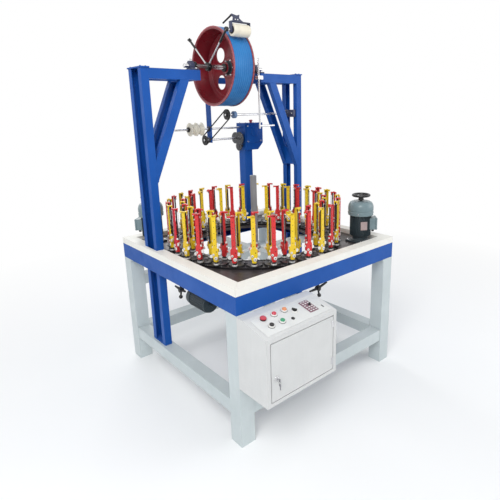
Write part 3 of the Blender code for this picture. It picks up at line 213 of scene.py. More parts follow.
def new_group(
    name: str, kind: str, inputs: Sequence[tuple[str, str, object]], outputs: Sequence[tuple[str, str]]
) -> tuple[Wiring, bpy.types.NodeOutputs]:
    """Makes a node group with named sockets.

    Args:
        name: the group's name.
        kind: the tree type.
        inputs: label, kind and default (or None) of each input.
        outputs: label and kind of each output.

    Returns:
        The group's wiring and its given values.
    """
    tree = bpy.data.node_groups.new(name, kind)
    for label, socket, default in inputs:
        made = tree.interface.new_socket(name=label, in_out="INPUT", socket_type=f"NodeSocket{socket}")
        if default is not None:
            made.default_value = default
    for label, socket in outputs:
        tree.interface.new_socket(name=label, in_out="OUTPUT", socket_type=f"NodeSocket{socket}")
    wiring = Wiring(tree)
    return wiring, wiring.add("NodeGroupInput").outputs


class SurfaceEffects:
    """The shader groups that the finishes share."""

    def __init__(self) -> None:
        """Builds each group once."""
        self.life = self._life()
        self.edges = self._edges()
        self.dust = self._dust()

    def _life(self) -> Tree:
        """Returns the group of clouds, fine grain and upright streaks."""
        inputs = [("Vector", "Vector", None), ("Scale", "Float", 90.0)]
        labels = ("Clouds", "Grain", "Streaks")
        w, given = new_group("surface_life", "ShaderNodeTree", inputs, [(label, "Float") for label in labels])
        plain = given["Vector"]
        drawn = w.add("ShaderNodeMapping", {"Vector": plain, "Scale": (1.0, 1.0, 0.08)}).outputs[0]
        masks = {}
        for label, place, share, detail in zip(
            labels, (plain, plain, drawn), (0.07, 1.0, 0.4), (4.0, 3.0, 2.0)
        ):
            size = w.maths("MULTIPLY", given["Scale"], share)
            noise = w.add("ShaderNodeTexNoise", {"Vector": place, "Scale": size, "Detail": detail})
            masks[label] = w.span(noise.outputs[0], 0.0, 1.0, 0.3, 0.7)
        w.add("NodeGroupOutput", masks)
        return w.tree

    def _edges(self) -> Tree:
        """Returns the group of the mask along sharp edges, partly wear and partly a painted highlight, and
        the softened normal.
        """
        inputs = [("Radius", "Float", 0.002), ("Breakup", "Float", 0.5)]
        w, given = new_group(
            "worn_and_highlit_edges", "ShaderNodeTree", inputs, [("Mask", "Float"), ("Normal", "Vector")]
        )
        soft = w.add("ShaderNodeBevel", {"Radius": given["Radius"]}, samples=4).outputs[0]
        true = w.add("ShaderNodeNewGeometry").outputs["Normal"]
        dot = w.add("ShaderNodeVectorMath", {0: soft, 1: true}, operation="DOT_PRODUCT").outputs["Value"]
        turned = w.maths("SUBTRACT", 1.0, dot)
        mask = w.maths("MULTIPLY", turned, w.span(given["Breakup"], 0.0, 9.0, 0.35, 0.8), True)
        w.add("NodeGroupOutput", {"Mask": mask, "Normal": soft})
        return w.tree

    def _dust(self) -> Tree:
        """Returns the group of the mask on faces that look up."""
        inputs = [("Amount", "Float", 0.1), ("Breakup", "Float", 0.5)]
        w, given = new_group("settled_dust", "ShaderNodeTree", inputs, [("Mask", "Float")])
        facing = w.add("ShaderNodeSeparateXYZ", {0: w.add("ShaderNodeNewGeometry").outputs["Normal"]})
        up = w.span(facing.outputs[2], 0.0, 1.0, 0.6, 1.0)
        patchy = w.maths("MULTIPLY", up, w.span(given["Breakup"], 0.3, 1.0))
        w.add("NodeGroupOutput", {"Mask": w.maths("MULTIPLY", patchy, given["Amount"], True)})
        return w.tree


EFFECTS = SurfaceEffects()
DUST_COLOUR = (0.62, 0.60, 0.57)


@dataclass(frozen=True)
class Finish:
    """One finish: its two colours, its gloss and the way its surface is broken up."""

    name: str
    colour: tuple[float, float, float]
    shade: tuple[float, float, float]
    roughness: float
    slot: str
    pattern: Pattern = Pattern.PAINT
    metallic: float = 0.0
    coat: float = 0.0
    scale: float = 90.0
    bump: float = 0.12
    # Share and colour of the sharp-edge mask: partly wear, partly a painted highlight along the edges.
    edge_wear_and_highlight: float = 0.25
    edge_wear_and_highlight_colour: tuple[float, float, float] = (0.30, 0.30, 0.31)
    dust: float = 0.08
    edge: float = 0.0016
    streak: float = 0.08
    mottle: float = 0.07
    shine: float = 0.4

    def material(self) -> bpy.types.Material:
        """Returns the finish's material, built once."""
        return bpy.data.materials.get(f"look_{self.name}") or self._build()

    def _build(self) -> bpy.types.Material:
        """Returns the new material."""
        material = bpy.data.materials.new(f"look_{self.name}")
        material.use_nodes = True
        material.diffuse_color = (*self.colour, 1.0)
        links = material.node_tree.links
        shader = material.node_tree.nodes["Principled BSDF"]
        constants = {"Metallic": self.metallic, "Coat Weight": self.coat, "Coat Roughness": 0.12}
        for name, value in {**constants, "Specular IOR Level": self.shine}.items():
            shader.inputs[name].default_value = value
        w = Wiring(material.node_tree)
        place = w.add("ShaderNodeTexCoord").outputs["Object"]
        life = w.add("ShaderNodeGroup", node_tree=EFFECTS.life)
        life.inputs["Scale"].default_value = self.scale
        links.new(place, life.inputs["Vector"])
        clouds, grain, streaks = (life.outputs[name] for name in ("Clouds", "Grain", "Streaks"))
        edges = w.add("ShaderNodeGroup", {"Breakup": clouds}, node_tree=EFFECTS.edges)
        edges.inputs["Radius"].default_value = self.edge
        dust = w.add("ShaderNodeGroup", {"Breakup": clouds}, node_tree=EFFECTS.dust)
        dust.inputs["Amount"].default_value = self.dust
        darker = tuple(0.74 * part for part in self.shade)
        base = w.blend(clouds, self.colour, self.shade)
        # Streaks and grain darken at random; the sharp-edge mask mixes in the edge colour, partly wear and
        # partly a painted highlight.
        for mask, share, over in (
            (streaks, self.streak, darker), (grain, self.mottle, darker),
            (edges.outputs["Mask"], self.edge_wear_and_highlight, self.edge_wear_and_highlight_colour)
        ):
            base = w.blend(w.maths("MULTIPLY", mask, share), base, over)
        links.new(w.blend(dust.outputs["Mask"], base, DUST_COLOUR), shader.inputs["Base Color"])
        height, gloss = self._pattern(w, place, grain, clouds, streaks)
        spread = w.span(gloss, max(0.04, self.roughness - 0.09), min(1.0, self.roughness + 0.11))
        dulled = w.maths("ADD", spread, w.maths("MULTIPLY", dust.outputs["Mask"], 0.6), True)
        links.new(dulled, shader.inputs["Roughness"])
        relief = {
            "Strength": self.bump, "Distance": 0.0012, "Height": height, "Normal": edges.outputs["Normal"]
        }
        links.new(w.add("ShaderNodeBump", relief).outputs[0], shader.inputs["Normal"])
        return material

    def _pattern(
        self, w: Wiring, place: Socket, grain: Socket, clouds: Socket, streaks: Socket
    ) -> tuple[Socket, Socket]:
        """Picks the height and the gloss variation of the finish's pattern.

        Args:
            w: the material's wiring.
            place: the Object coordinates.
            grain: the fine noise.
            clouds: the coarse noise.
            streaks: the drawn-out noise.

        Returns:
            The height and the gloss sockets.
        """
        if self.pattern is Pattern.BRUSHED:
            drawn = w.add("ShaderNodeMapping", {"Vector": place, "Scale": (0.05, 1.0, 1.0)}).outputs[0]
            lines = w.add("ShaderNodeTexNoise", {"Vector": drawn, "Scale": 900.0, "Detail": 2.0}).outputs[0]
            return lines, w.maths("MULTIPLY", w.maths("ADD", lines, clouds), 0.5)
        if self.pattern is Pattern.BANDED:
            wave = {"Vector": place, "Scale": 34.0, "Distortion": 0.6, "Detail": 1.0}
            bands = w.add("ShaderNodeTexWave", wave, bands_direction="X").outputs[1]
            return w.maths("ADD", w.maths("MULTIPLY", bands, 0.8), w.maths("MULTIPLY", grain, 0.4)), clouds
        if self.pattern is Pattern.OILED:
            smear = {"Vector": place, "Scale": 11.0, "Detail": 5.0, "Distortion": 1.4}
            return grain, w.span(w.add("ShaderNodeTexNoise", smear).outputs[0], 0.0, 1.0, 0.35, 0.65)
        if self.pattern in (Pattern.CAST, Pattern.RUBBER):
            cells = w.add("ShaderNodeTexVoronoi", {"Vector": place, "Scale": self.scale * 3.0}).outputs[0]
            return w.maths("ADD", grain, w.maths("MULTIPLY", cells, 0.7)), grain
        if self.pattern is Pattern.MOULDED:
            return w.maths("MULTIPLY", w.maths("ADD", grain, streaks), 0.5), clouds
        return grain, clouds


BLUE = Finish(
    "blue_paint", (0.008, 0.092, 0.400), (0.006, 0.076, 0.345), 0.40, "blue_paint", coat=0.06, edge_wear_and_highlight=0.22,
    edge_wear_and_highlight_colour=(0.10, 0.22, 0.50), shine=0.18, dust=0.05,
)
LIGHT_GREY = Finish(
    "light_grey_paint", (0.585, 0.645, 0.655), (0.535, 0.595, 0.605), 0.46, "light_grey_paint", coat=0.05,
    edge_wear_and_highlight=0.22, edge_wear_and_highlight_colour=(0.72, 0.76, 0.76), shine=0.3,
)
CREAM = Finish(
    "cream_board", (0.88, 0.865, 0.81), (0.84, 0.82, 0.755), 0.48, "cream_board", Pattern.MOULDED, edge_wear_and_highlight=0.15,
    edge_wear_and_highlight_colour=(0.80, 0.78, 0.72), shine=0.3, mottle=0.05, streak=0.04, dust=0.03,
)
BED_STEEL = Finish(
    "dark_bed_steel", (0.085, 0.070, 0.070), (0.045, 0.038, 0.040), 0.34, "dark_bed_steel", Pattern.OILED,
    metallic=0.45, scale=60.0, bump=0.18, edge_wear_and_highlight=0.4, dust=0.04,
)
TRACK_STEEL = Finish(
    "track_steel", (0.030, 0.027, 0.030), (0.014, 0.013, 0.015), 0.32, "carrier_plastic", Pattern.OILED,
    metallic=0.6, scale=70.0, edge_wear_and_highlight=0.6, dust=0.03,
)
CARRIER_RED = Finish(
    "carrier_red", (0.72, 0.034, 0.036), (0.60, 0.024, 0.028), 0.36, "carrier_plastic", Pattern.MOULDED,
    coat=0.2, edge_wear_and_highlight=0.15, edge_wear_and_highlight_colour=(0.80, 0.25, 0.20), dust=0.05,
)
CARRIER_YELLOW = Finish(
    "carrier_yellow", (0.88, 0.63, 0.020), (0.80, 0.53, 0.014), 0.36, "carrier_plastic", Pattern.MOULDED,
    coat=0.2, edge_wear_and_highlight=0.15, edge_wear_and_highlight_colour=(0.92, 0.80, 0.35), dust=0.05,
)
FOOT_ALLOY = Finish(
    "foot_alloy", (0.80, 0.80, 0.80), (0.66, 0.66, 0.67), 0.34, "bright_steel", Pattern.BRUSHED,
    metallic=0.55, bump=0.05, edge_wear_and_highlight=0.2, dust=0.0,
)
TUBE_GREY = Finish(
    "tube_grey", (0.255, 0.255, 0.265), (0.205, 0.205, 0.215), 0.42, "light_grey_paint", Pattern.BRUSHED,
    metallic=0.2, bump=0.05, edge_wear_and_highlight=0.3, edge_wear_and_highlight_colour=(0.5, 0.5, 0.5),
)
LIP_RED = Finish(
    "lip_red", (0.42, 0.095, 0.110), (0.30, 0.050, 0.065), 0.34, "red_paint", coat=0.2, edge_wear_and_highlight=0.8,
    edge_wear_and_highlight_colour=(0.66, 0.42, 0.43), dust=0.0,
)
WHITE_NYLON = Finish(
    "white_nylon", (0.84, 0.83, 0.80), (0.74, 0.73, 0.70), 0.38, "ivory_nylon", Pattern.MOULDED, edge_wear_and_highlight=0.1
)
IVORY = Finish(
    "ivory_nylon", (0.84, 0.79, 0.66), (0.76, 0.70, 0.56), 0.40, "ivory_nylon", Pattern.MOULDED, edge_wear_and_highlight=0.2
)
BRIGHT_STEEL = Finish(
    "bright_steel", (0.74, 0.74, 0.75), (0.60, 0.60, 0.62), 0.24, "bright_steel", Pattern.BRUSHED,
    metallic=1.0, bump=0.05, edge_wear_and_highlight=0.1, dust=0.03,
)
DULL_STEEL = Finish(
    "dull_steel", (0.36, 0.36, 0.38), (0.26, 0.26, 0.28), 0.38, "bright_steel", Pattern.CAST,
    metallic=0.9, bump=0.12, edge_wear_and_highlight=0.3, edge_wear_and_highlight_colour=(0.6, 0.6, 0.6),
)
DARK_SPINDLE = Finish(
    "dark_spindle", (0.060, 0.050, 0.060), (0.030, 0.026, 0.032), 0.30, "black_plastic", Pattern.BRUSHED,
    metallic=0.7, edge_wear_and_highlight=0.3,
)
DRUM_RED = Finish(
    "drum_red", (0.25, 0.014, 0.024), (0.15, 0.006, 0.013), 0.32, "red_paint", coat=0.4, edge_wear_and_highlight=0.45,
    edge_wear_and_highlight_colour=(0.55, 0.25, 0.27), dust=0.04,
)
LAGGING_BLUE = Finish(
    "lagging_blue", (0.030, 0.200, 0.500), (0.020, 0.145, 0.400), 0.42, "blue_paint", Pattern.BANDED,
    bump=0.22, edge_wear_and_highlight=0.1, dust=0.05, shine=0.25,
)
BRACKET_BLUE = Finish(
    "bracket_blue", (0.055, 0.065, 0.13), (0.035, 0.042, 0.085), 0.40, "blue_paint", Pattern.CAST, edge_wear_and_highlight=0.4
)
BEARING_BLUE = Finish(
    "bearing_blue", (0.16, 0.27, 0.46), (0.10, 0.18, 0.34), 0.42, "blue_paint", Pattern.CAST, edge_wear_and_highlight=0.5
)
MOTOR_GREEN = Finish(
    "motor_green_grey", (0.190, 0.265, 0.290), (0.150, 0.215, 0.235), 0.33, "motor_green_grey", coat=0.25,
    edge_wear_and_highlight=0.35, bump=0.10,
)
MOTOR_DARK = Finish(
    "motor_casting", (0.034, 0.052, 0.062), (0.020, 0.031, 0.038), 0.42, "motor_green_grey", Pattern.CAST,
    edge_wear_and_highlight=0.3
)
BLACK = Finish(
    "black_plastic", (0.016, 0.016, 0.017), (0.010, 0.010, 0.011), 0.34, "black_plastic", Pattern.MOULDED,
    edge_wear_and_highlight=0.25, edge_wear_and_highlight_colour=(0.12, 0.12, 0.12), dust=0.05,
)
RUBBER = Finish(
    "black_rubber", (0.018, 0.018, 0.018), (0.010, 0.010, 0.010), 0.72, "black_rubber", Pattern.RUBBER,
    edge_wear_and_highlight=0.2,
    edge_wear_and_highlight_colour=(0.08, 0.08, 0.08),
)
GEAR_STEEL = Finish(
    "gear_steel", (0.13, 0.13, 0.14), (0.075, 0.075, 0.08), 0.36, "black_plastic", Pattern.OILED,
    metallic=0.85, edge_wear_and_highlight=0.7, edge_wear_and_highlight_colour=(0.42, 0.42, 0.43),
)
CABINET = Finish(
    "cabinet_grey", (0.665, 0.670, 0.665), (0.635, 0.640, 0.635), 0.50, "cabinet_grey", Pattern.CAST,
    scale=150.0, bump=0.08, edge_wear_and_highlight=0.15, edge_wear_and_highlight_colour=(0.85, 0.85, 0.84), dust=0.05,
)
PANEL = Finish(
    "panel_grey", (0.74, 0.75, 0.74), (0.68, 0.69, 0.68), 0.40, "cabinet_grey", scale=160.0, bump=0.05,
    edge_wear_and_highlight=0.1
)
BUTTON_RED = Finish(
    "button_red", (0.62, 0.03, 0.07), (0.50, 0.02, 0.05), 0.28, "red_paint", Pattern.MOULDED, coat=0.4
)
BUTTON_ORANGE = Finish(
    "button_orange", (0.80, 0.30, 0.12), (0.70, 0.22, 0.08), 0.30, "carrier_plastic", Pattern.MOULDED,
    coat=0.4
)
BUTTON_GREEN = Finish(
    "button_green", (0.02, 0.34, 0.16), (0.015, 0.25, 0.11), 0.30, "motor_green_grey", Pattern.MOULDED,
    coat=0.4
)
KEYPAD_PLUM = Finish(
    "keypad_plum", (0.23, 0.105, 0.145), (0.17, 0.075, 0.105), 0.40, "black_plastic", Pattern.MOULDED,
    scale=200.0
)
LABEL_PLATE = Finish(
    "bare_plate", (0.46, 0.36, 0.35), (0.34, 0.25, 0.25), 0.36, "bright_steel", Pattern.BRUSHED, metallic=0.5
)


class Mould:
    """Gathers simple solids in one mesh."""

    def __init__(self) -> None:
        """Starts an empty mesh."""
        self.bm = bmesh.new()

    def _soften(self, faces: Sequence[bmesh.types.BMFace], width: float) -> None:
        """Bevels the sharp edges of new faces.

        Args:
            faces: the faces of the solid.
            width: the bevel's width, 0 for none.
        """
        if width <= 0:
            return
        edges = {edge for face in faces for edge in face.edges if len(edge.link_faces) == 2}
        sharp = [edge for edge in edges if edge.calc_face_angle(0.0) > math.radians(40)]
        bmesh.ops.bevel(self.bm, geom=sharp, offset=width, segments=2, profile=0.6, affect="EDGES")

    def block(self, low: Point, high: Point, bevel: float = 0.0, place: Matrix = IDENTITY) -> Mould:
        """Adds a box between two corners.

        Args:
            low: the lowest corner.
            high: the highest corner.
            bevel: the width of its bevels.
            place: where it goes.

        Returns:
            This mould.
        """
        size, middle = Vector(high) - Vector(low), (Vector(high) + Vector(low)) / 2
        matrix = place @ Matrix.Translation(middle) @ Matrix.Diagonal((*size, 1.0))
        verts = bmesh.ops.create_cube(self.bm, size=1.0, matrix=matrix)["verts"]
        self._soften(list({face for vert in verts for face in vert.link_faces}), bevel)
        return self

    def prism(
        self, outline: Outline, thickness: float, place: Matrix = IDENTITY, bevel: float = 0.0
    ) -> Mould:
        """Adds an outline in X and Y, thickened along +Z.

        Args:
            outline: its corners in order.
            thickness: its height.
            place: where it goes.
            bevel: the width of its bevels.

        Returns:
            This mould.
        """
        low, high = (
            [self.bm.verts.new(place @ Vector((x, y, level))) for x, y in outline]
            for level in (0.0, thickness)
        )
        faces = [self.bm.faces.new(low[::-1]), self.bm.faces.new(high)]
        for index in range(len(low)):
            after = (index + 1) % len(low)
            faces.append(self.bm.faces.new((low[index], low[after], high[after], high[index])))
        self._soften(faces, bevel)
        return self

    def lathe(self, profile: Outline, place: Matrix = IDENTITY, steps: int = 48, loop: bool = False) -> Mould:
        """Turns a profile of (radius, height) about Z.

        Args:
            profile: its points in order; radius 0 closes it on the axis.
            place: where it goes.
            steps: how many steps there are in a turn.
            loop: whether the last point joins the first.

        Returns:
            This mould.
        """
        rings = []
        for radius, height in profile:
            spots = circle(steps, radius) if radius > 1e-6 else [(0.0, 0.0)]
            rings.append([self.bm.verts.new(place @ Vector((*spot, height))) for spot in spots])
        pairs = list(zip(rings, rings[1:])) + ([(rings[-1], rings[0])] if loop else [])
        for first, second in pairs:
            for step in range(steps):
                after = (step + 1) % steps
                near, far = (ring[step % len(ring)] for ring in (first, second))
                corners = dict.fromkeys((near, far, second[after % len(second)], first[after % len(first)]))
                if len(corners) > 2:
                    self.bm.faces.new(tuple(corners))
        return self

    def collar(
        self, spot: Point, bore: float, radius: float, length: float, cut: float = 0.0015, steps: int = 32,
        both: bool = True,
    ) -> Mould:
        """Adds a collar along X with chamfered edges.

        Args:
            spot: the middle of its left face.
            bore: the radius of its bore.
            radius: its outside radius.
            length: its length.
            cut: the width of its chamfers.
            steps: its sides.
            both: whether the right edge is chamfered too.

        Returns:
            This mould.
        """
        end = [(radius, length - cut), (radius - cut, length)] if both else [(radius, length)]
        profile = [(bore, 0), (radius - cut, 0), (radius, cut), *end, (bore, length)]
        return self.lathe(profile, Axis.X.matrix(spot), steps, loop=True)

    def rod(self, start: Point, end: Point, radius: float, steps: int = 24, chamfer: float = 0.0008) -> Mould:
        """Adds a round rod with chamfered ends.

        Args:
            start: the middle of one end.
            end: the middle of the other end.
            radius: its radius.
            steps: its sides.
            chamfer: the width of its chamfers.

        Returns:
            This mould.
        """
        along = Vector(end) - Vector(start)
        turn = along.to_track_quat("Z", "Y").to_matrix().to_4x4()
        cut = min(chamfer, radius * 0.4, along.length * 0.4)
        profile = [
            (0.0, 0.0), (radius - cut, 0.0), (radius, cut),
            (radius, along.length - cut), (radius - cut, along.length), (0.0, along.length),
        ]
        return self.lathe(profile, Matrix.Translation(start) @ turn, steps)

    def ball(self, centre: Point, radius: float, steps: int = 16) -> Mould:
        """Adds a ball.

        Args:
            centre: its middle.
            radius: its radius.
            steps: its sides.

        Returns:
            This mould.
        """
        half = steps // 2
        profile = [polar(radius, math.pi * (step / half - 0.5)) for step in range(half + 1)]
        return self.lathe(profile, Matrix.Translation(centre), steps)

    def ring(self, centre: Point, radius: float, thick: float, axis: Axis = Axis.Z, steps: int = 40) -> Mould:
        """Adds a round ring.

        Args:
            centre: its middle.
            radius: the radius of its middle line.
            thick: the radius of its section.
            axis: the axis it turns about.
            steps: its sides.

        Returns:
            This mould.
        """
        return self.lathe(
            [(radius + x, z) for x, z in circle(10, thick)], axis.matrix(centre), steps, loop=True
        )

    def tube(self, path: Sequence[Point], radius: float, sides: int) -> Mould:
        """Sweeps a round section along a path.

        Args:
            path: the points of its middle line.
            radius: its radius.
            sides: the sides of its section.

        Returns:
            This mould.
        """
        points = [Vector(point) for point in path]
        heading = (points[1] - points[0]).normalized()
        across = heading.orthogonal().normalized()
        rings = []
        for index, point in enumerate(points):
            way = (points[min(len(points) - 1, index + 1)] - points[max(0, index - 1)]).normalized()
            across = (heading.rotation_difference(way) @ across).normalized()
            heading = way
            spins = [Quaternion(heading, math.tau * side / sides) for side in range(sides)]
            rings.append([self.bm.verts.new(point + radius * (spin @ across)) for spin in spins])
        for first, second in zip(rings, rings[1:]):
            for side in range(sides):
                after = (side + 1) % sides
                self.bm.faces.new((first[side], first[after], second[after], second[side]))
        self.bm.faces.new(rings[0][::-1])
        self.bm.faces.new(rings[-1])
        return self

    def join(self, mesh: Mesh, place: Matrix = IDENTITY) -> Mould:
        """Adds a mesh.

        Args:
            mesh: the mesh, which is then removed.
            place: where it goes.

        Returns:
            This mould.
        """
        mesh.transform(place)
        self.bm.from_mesh(mesh)
        bpy.data.meshes.remove(mesh)
        return self

    def mesh(self, name: str, sharp_deg: float = 32.0) -> Mesh:
        """Closes the mould.

        Args:
            name: the mesh's name.
            sharp_deg: the angle over which an edge stays sharp.

        Returns:
            The finished mesh, smooth but for its sharp edges.
        """
        bmesh.ops.remove_doubles(self.bm, verts=self.bm.verts, dist=1e-6)
        bmesh.ops.recalc_face_normals(self.bm, faces=self.bm.faces)
        mesh = bpy.data.meshes.new(name)
        self.bm.to_mesh(mesh)
        self.bm.free()
        mesh.shade_smooth()
        mesh.set_sharp_from_angle(angle=math.radians(sharp_deg))
        return mesh


class Grower:
    """The Geometry Nodes trees that repeat a shape round a circle or on marked points."""

    def __init__(self) -> None:
        """Builds both trees."""
        self.round_tree = self._round()
        self.point_tree = self._points()

    def _start(self, name: str, *extra: tuple[str, str, object]) -> tuple[Wiring, bpy.types.NodeOutputs]:
        """Starts a tree.

        Args:
            name: its name.
            extra: the inputs it has besides the mesh, the template and the finish.

        Returns:
            Its wiring and its given values.
        """
        usual = [("Geometry", "Geometry", None), ("Template", "Object", None), ("Finish", "Material", None)]
        return new_group(name, "GeometryNodeTree", [*usual, *extra], [("Geometry", "Geometry")])

    def _close(
        self, w: Wiring, given: bpy.types.NodeOutputs, points: Socket, turn: Socket, size: object
    ) -> Tree:
        """Instances the template, realises the copies and gives them their finish.

        Args:
            w: the tree's wiring.
            given: the tree's inputs.
            points: the points to copy to.
            turn: the rotation of each copy.
            size: the scale of the copies.

        Returns:
            The tree.
        """
        shape = w.add("GeometryNodeObjectInfo", {"Object": given["Template"]}).outputs["Geometry"]
        placing = {"Points": points, "Instance": shape, "Rotation": turn, "Scale": size}
        copies = w.add("GeometryNodeInstanceOnPoints", placing).outputs[0]
        real = w.add("GeometryNodeRealizeInstances", {"Geometry": copies}).outputs[0]
        dressed = w.add("GeometryNodeSetMaterial", {"Geometry": real, "Material": given["Finish"]})
        w.add("NodeGroupOutput", {0: dressed.outputs[0]})
        return w.tree

    def _round(self) -> Tree:
        """Returns the tree of copies round a circle, each facing outwards."""
        extra = [
            ("Count", "Int", 32), ("Radius", "Float", 0.5), ("Phase", "Float", 0.0), ("Height", "Float", 0.0)
        ]
        w, given = self._start("copies_round_a_circle", *extra)
        line = w.add(
            "GeometryNodeMeshCircle", {"Vertices": given["Count"], "Radius": given["Radius"]}
        ).outputs[0]
        spin, lift = (
            w.add("ShaderNodeCombineXYZ", {2: given[label]}).outputs[0] for label in ("Phase", "Height")
        )
        placed = w.add(
            "GeometryNodeTransform", {"Geometry": line, "Translation": lift, "Rotation": spin}
        ).outputs[0]
        spot = {"Vector": w.add("GeometryNodeInputPosition").outputs[0]}
        turn = w.add("FunctionNodeAlignRotationToVector", spot, axis="X", pivot_axis="Z").outputs[0]
        return self._close(w, given, placed, turn, (1.0, 1.0, 1.0))

    def _points(self) -> Tree:
        """Returns the tree of copies on points, each along the point's facing."""
        w, given = self._start("copies_on_points", ("Size", "Float", 1.0))
        facing = w.add(
            "GeometryNodeInputNamedAttribute", {"Name": "facing"}, data_type="FLOAT_VECTOR"
        ).outputs[0]
        turn = w.add(
            "FunctionNodeAlignRotationToVector", {"Vector": facing}, axis="Z", pivot_axis="AUTO"
        ).outputs[0]
        return self._close(w, given, given["Geometry"], turn, given["Size"])

    def _run(self, tree: Tree, base: Mesh, template: Mesh, finish: Finish, **settings: object) -> Mesh:
        """Runs a tree and takes its result as a plain mesh.

        Args:
            tree: the tree.
            base: the mesh it runs on, which is then removed.
            template: the shape to copy; it is kept.
            finish: the finish of the copies.
            settings: the tree's other inputs by name.

        Returns:
            The result.
        """
        sample, carrier = bpy.data.objects.new("template", template), bpy.data.objects.new("grown", base)
        for obj in (sample, carrier):
            bpy.context.scene.collection.objects.link(obj)
        modifier = carrier.modifiers.new("grow", "NODES")
        modifier.node_group = tree
        sockets = [item for item in tree.interface.items_tree if item.item_type == "SOCKET"]
        keys = {item.name: item.identifier for item in sockets if item.in_out == "INPUT"}
        for name, value in {"Template": sample, "Finish": finish.material(), **settings}.items():
            modifier[keys[name]] = value
        graph = bpy.context.evaluated_depsgraph_get()
        result = bpy.data.meshes.new_from_object(carrier.evaluated_get(graph))
        for obj in (carrier, sample):
            bpy.data.objects.remove(obj)
        bpy.data.meshes.remove(base)
        return result

    def around(
        self, template: Mesh, finish: Finish, count: int, radius: float, phase: float = 0.0,
        height: float = 0.0
    ) -> Mesh:
        """Copies a template round a circle.

        Args:
            template: the shape, whose +X faces outwards.
            finish: the finish of the copies.
            count: how many copies there are.
            radius: the circle's radius.
            phase: the first copy's angle in radians.
            height: the circle's height.

        Returns:
            All copies in one mesh.
        """
        values = {"Count": count, "Radius": radius, "Phase": phase, "Height": height}
        return self._run(self.round_tree, bpy.data.meshes.new("grown_base"), template, finish, **values)

    def on_points(self, template: Mesh, finish: Finish, spots: Spots, size: float = 1.0) -> Mesh:
        """Copies a template to spots.

        Args:
            template: the shape, whose +Z faces along the spot's direction.
            finish: the finish of the copies.
            spots: each spot and its direction.
            size: the scale of the copies.

        Returns:
            All copies in one mesh.
        """
        base = bpy.data.meshes.new("grown_base")
        base.from_pydata([tuple(spot) for spot, _ in spots], [], [])
        facing = base.attributes.new("facing", "FLOAT_VECTOR", "POINT")
        for item, (_, direction) in zip(facing.data, spots):
            item.vector = direction
        return self._run(self.point_tree, base, template, finish, Size=size)


class Workshop:
    """Adds finished pieces to the scene and makes the shared fasteners."""

    BOLT_WASHER: Outline = [(0, 0), (0.008, 0), (0.008, 0.0014), (0, 0.0014)]
    BOLT_HEAD: Outline = [(0, 0.001), (0.0064, 0.001), (0.0064, 0.0052), (0.0054, 0.0062), (0, 0.0062)]
    CAP_SCREW: Outline = [
        (0, 0.0020), (0.0022, 0.0020), (0.0024, 0.0040), (0.0040, 0.0040), (0.0045, 0.0034), (0.0045, 0),
        (0, 0),
    ]

    def __init__(self) -> None:
        """Makes the grower, the collection, the hexagon bolt and the socket screw."""
        self.grow = Grower()
        self.shelf = bpy.data.collections.new("looks")
        bpy.context.scene.collection.children.link(self.shelf)
        bolt = Mould().lathe(self.BOLT_WASHER, steps=14)
        self.bolt = bolt.lathe(self.BOLT_HEAD, steps=6).mesh("bolt", 25.0)
        self.cap_screw = Mould().lathe(self.CAP_SCREW, steps=12).mesh("cap_screw", 25.0)

    def add(
        self, name: str, shape: Mould | Mesh, finish: Finish, body: str = FRAME_BODY,
        stands_for: Sequence[str] = ()
    ) -> None:
        """Adds a piece, which rides on a body.

        Args:
            name: the piece's name.
            shape: its mould or mesh, measured from the middle of the table.
            finish: its finish.
            body: the body it rides on.
            stands_for: the CAD nodes it replaces.
        """
        mesh = shape.mesh(name) if isinstance(shape, Mould) else shape
        mesh.name = name
        mesh.transform(TABLE_SHIFT)
        mesh.materials.clear()
        mesh.materials.append(finish.material())
        piece = bpy.data.objects.new(name, mesh)
        self.shelf.objects.link(piece)
        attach(piece, body)
        if stands_for:
            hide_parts(*stands_for)
        LOG.info("%s: %d faces on %s", name, len(mesh.polygons), body)

    def fasten(
        self, name: str, spots: Spots, size: float = 1.0, body: str = FRAME_BODY,
        finish: Finish = BRIGHT_STEEL,
        socket: bool = False,
    ) -> None:
        """Adds a group of bolts.

        Args:
            name: the piece's name.
            spots: each bolt's seat and direction.
            size: their scale.
            body: the body they ride on.
            finish: their finish.
            socket: whether they are socket screws.
        """
        template = self.cap_screw if socket else self.bolt
        self.add(name, self.grow.on_points(template, finish, spots, size), finish, body)

    def dress(self, finish: Finish, *prefixes: str) -> None:
        """Gives CAD nodes a finish.

        Args:
            finish: the finish.
            prefixes: the starts of the nodes' names.
        """
        for name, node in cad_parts.items():
            if name.startswith(prefixes):
                for slot in node.material_slots:
                    slot.material = finish.material()
                LOG.info("%s: dressed in %s", name, finish.name)


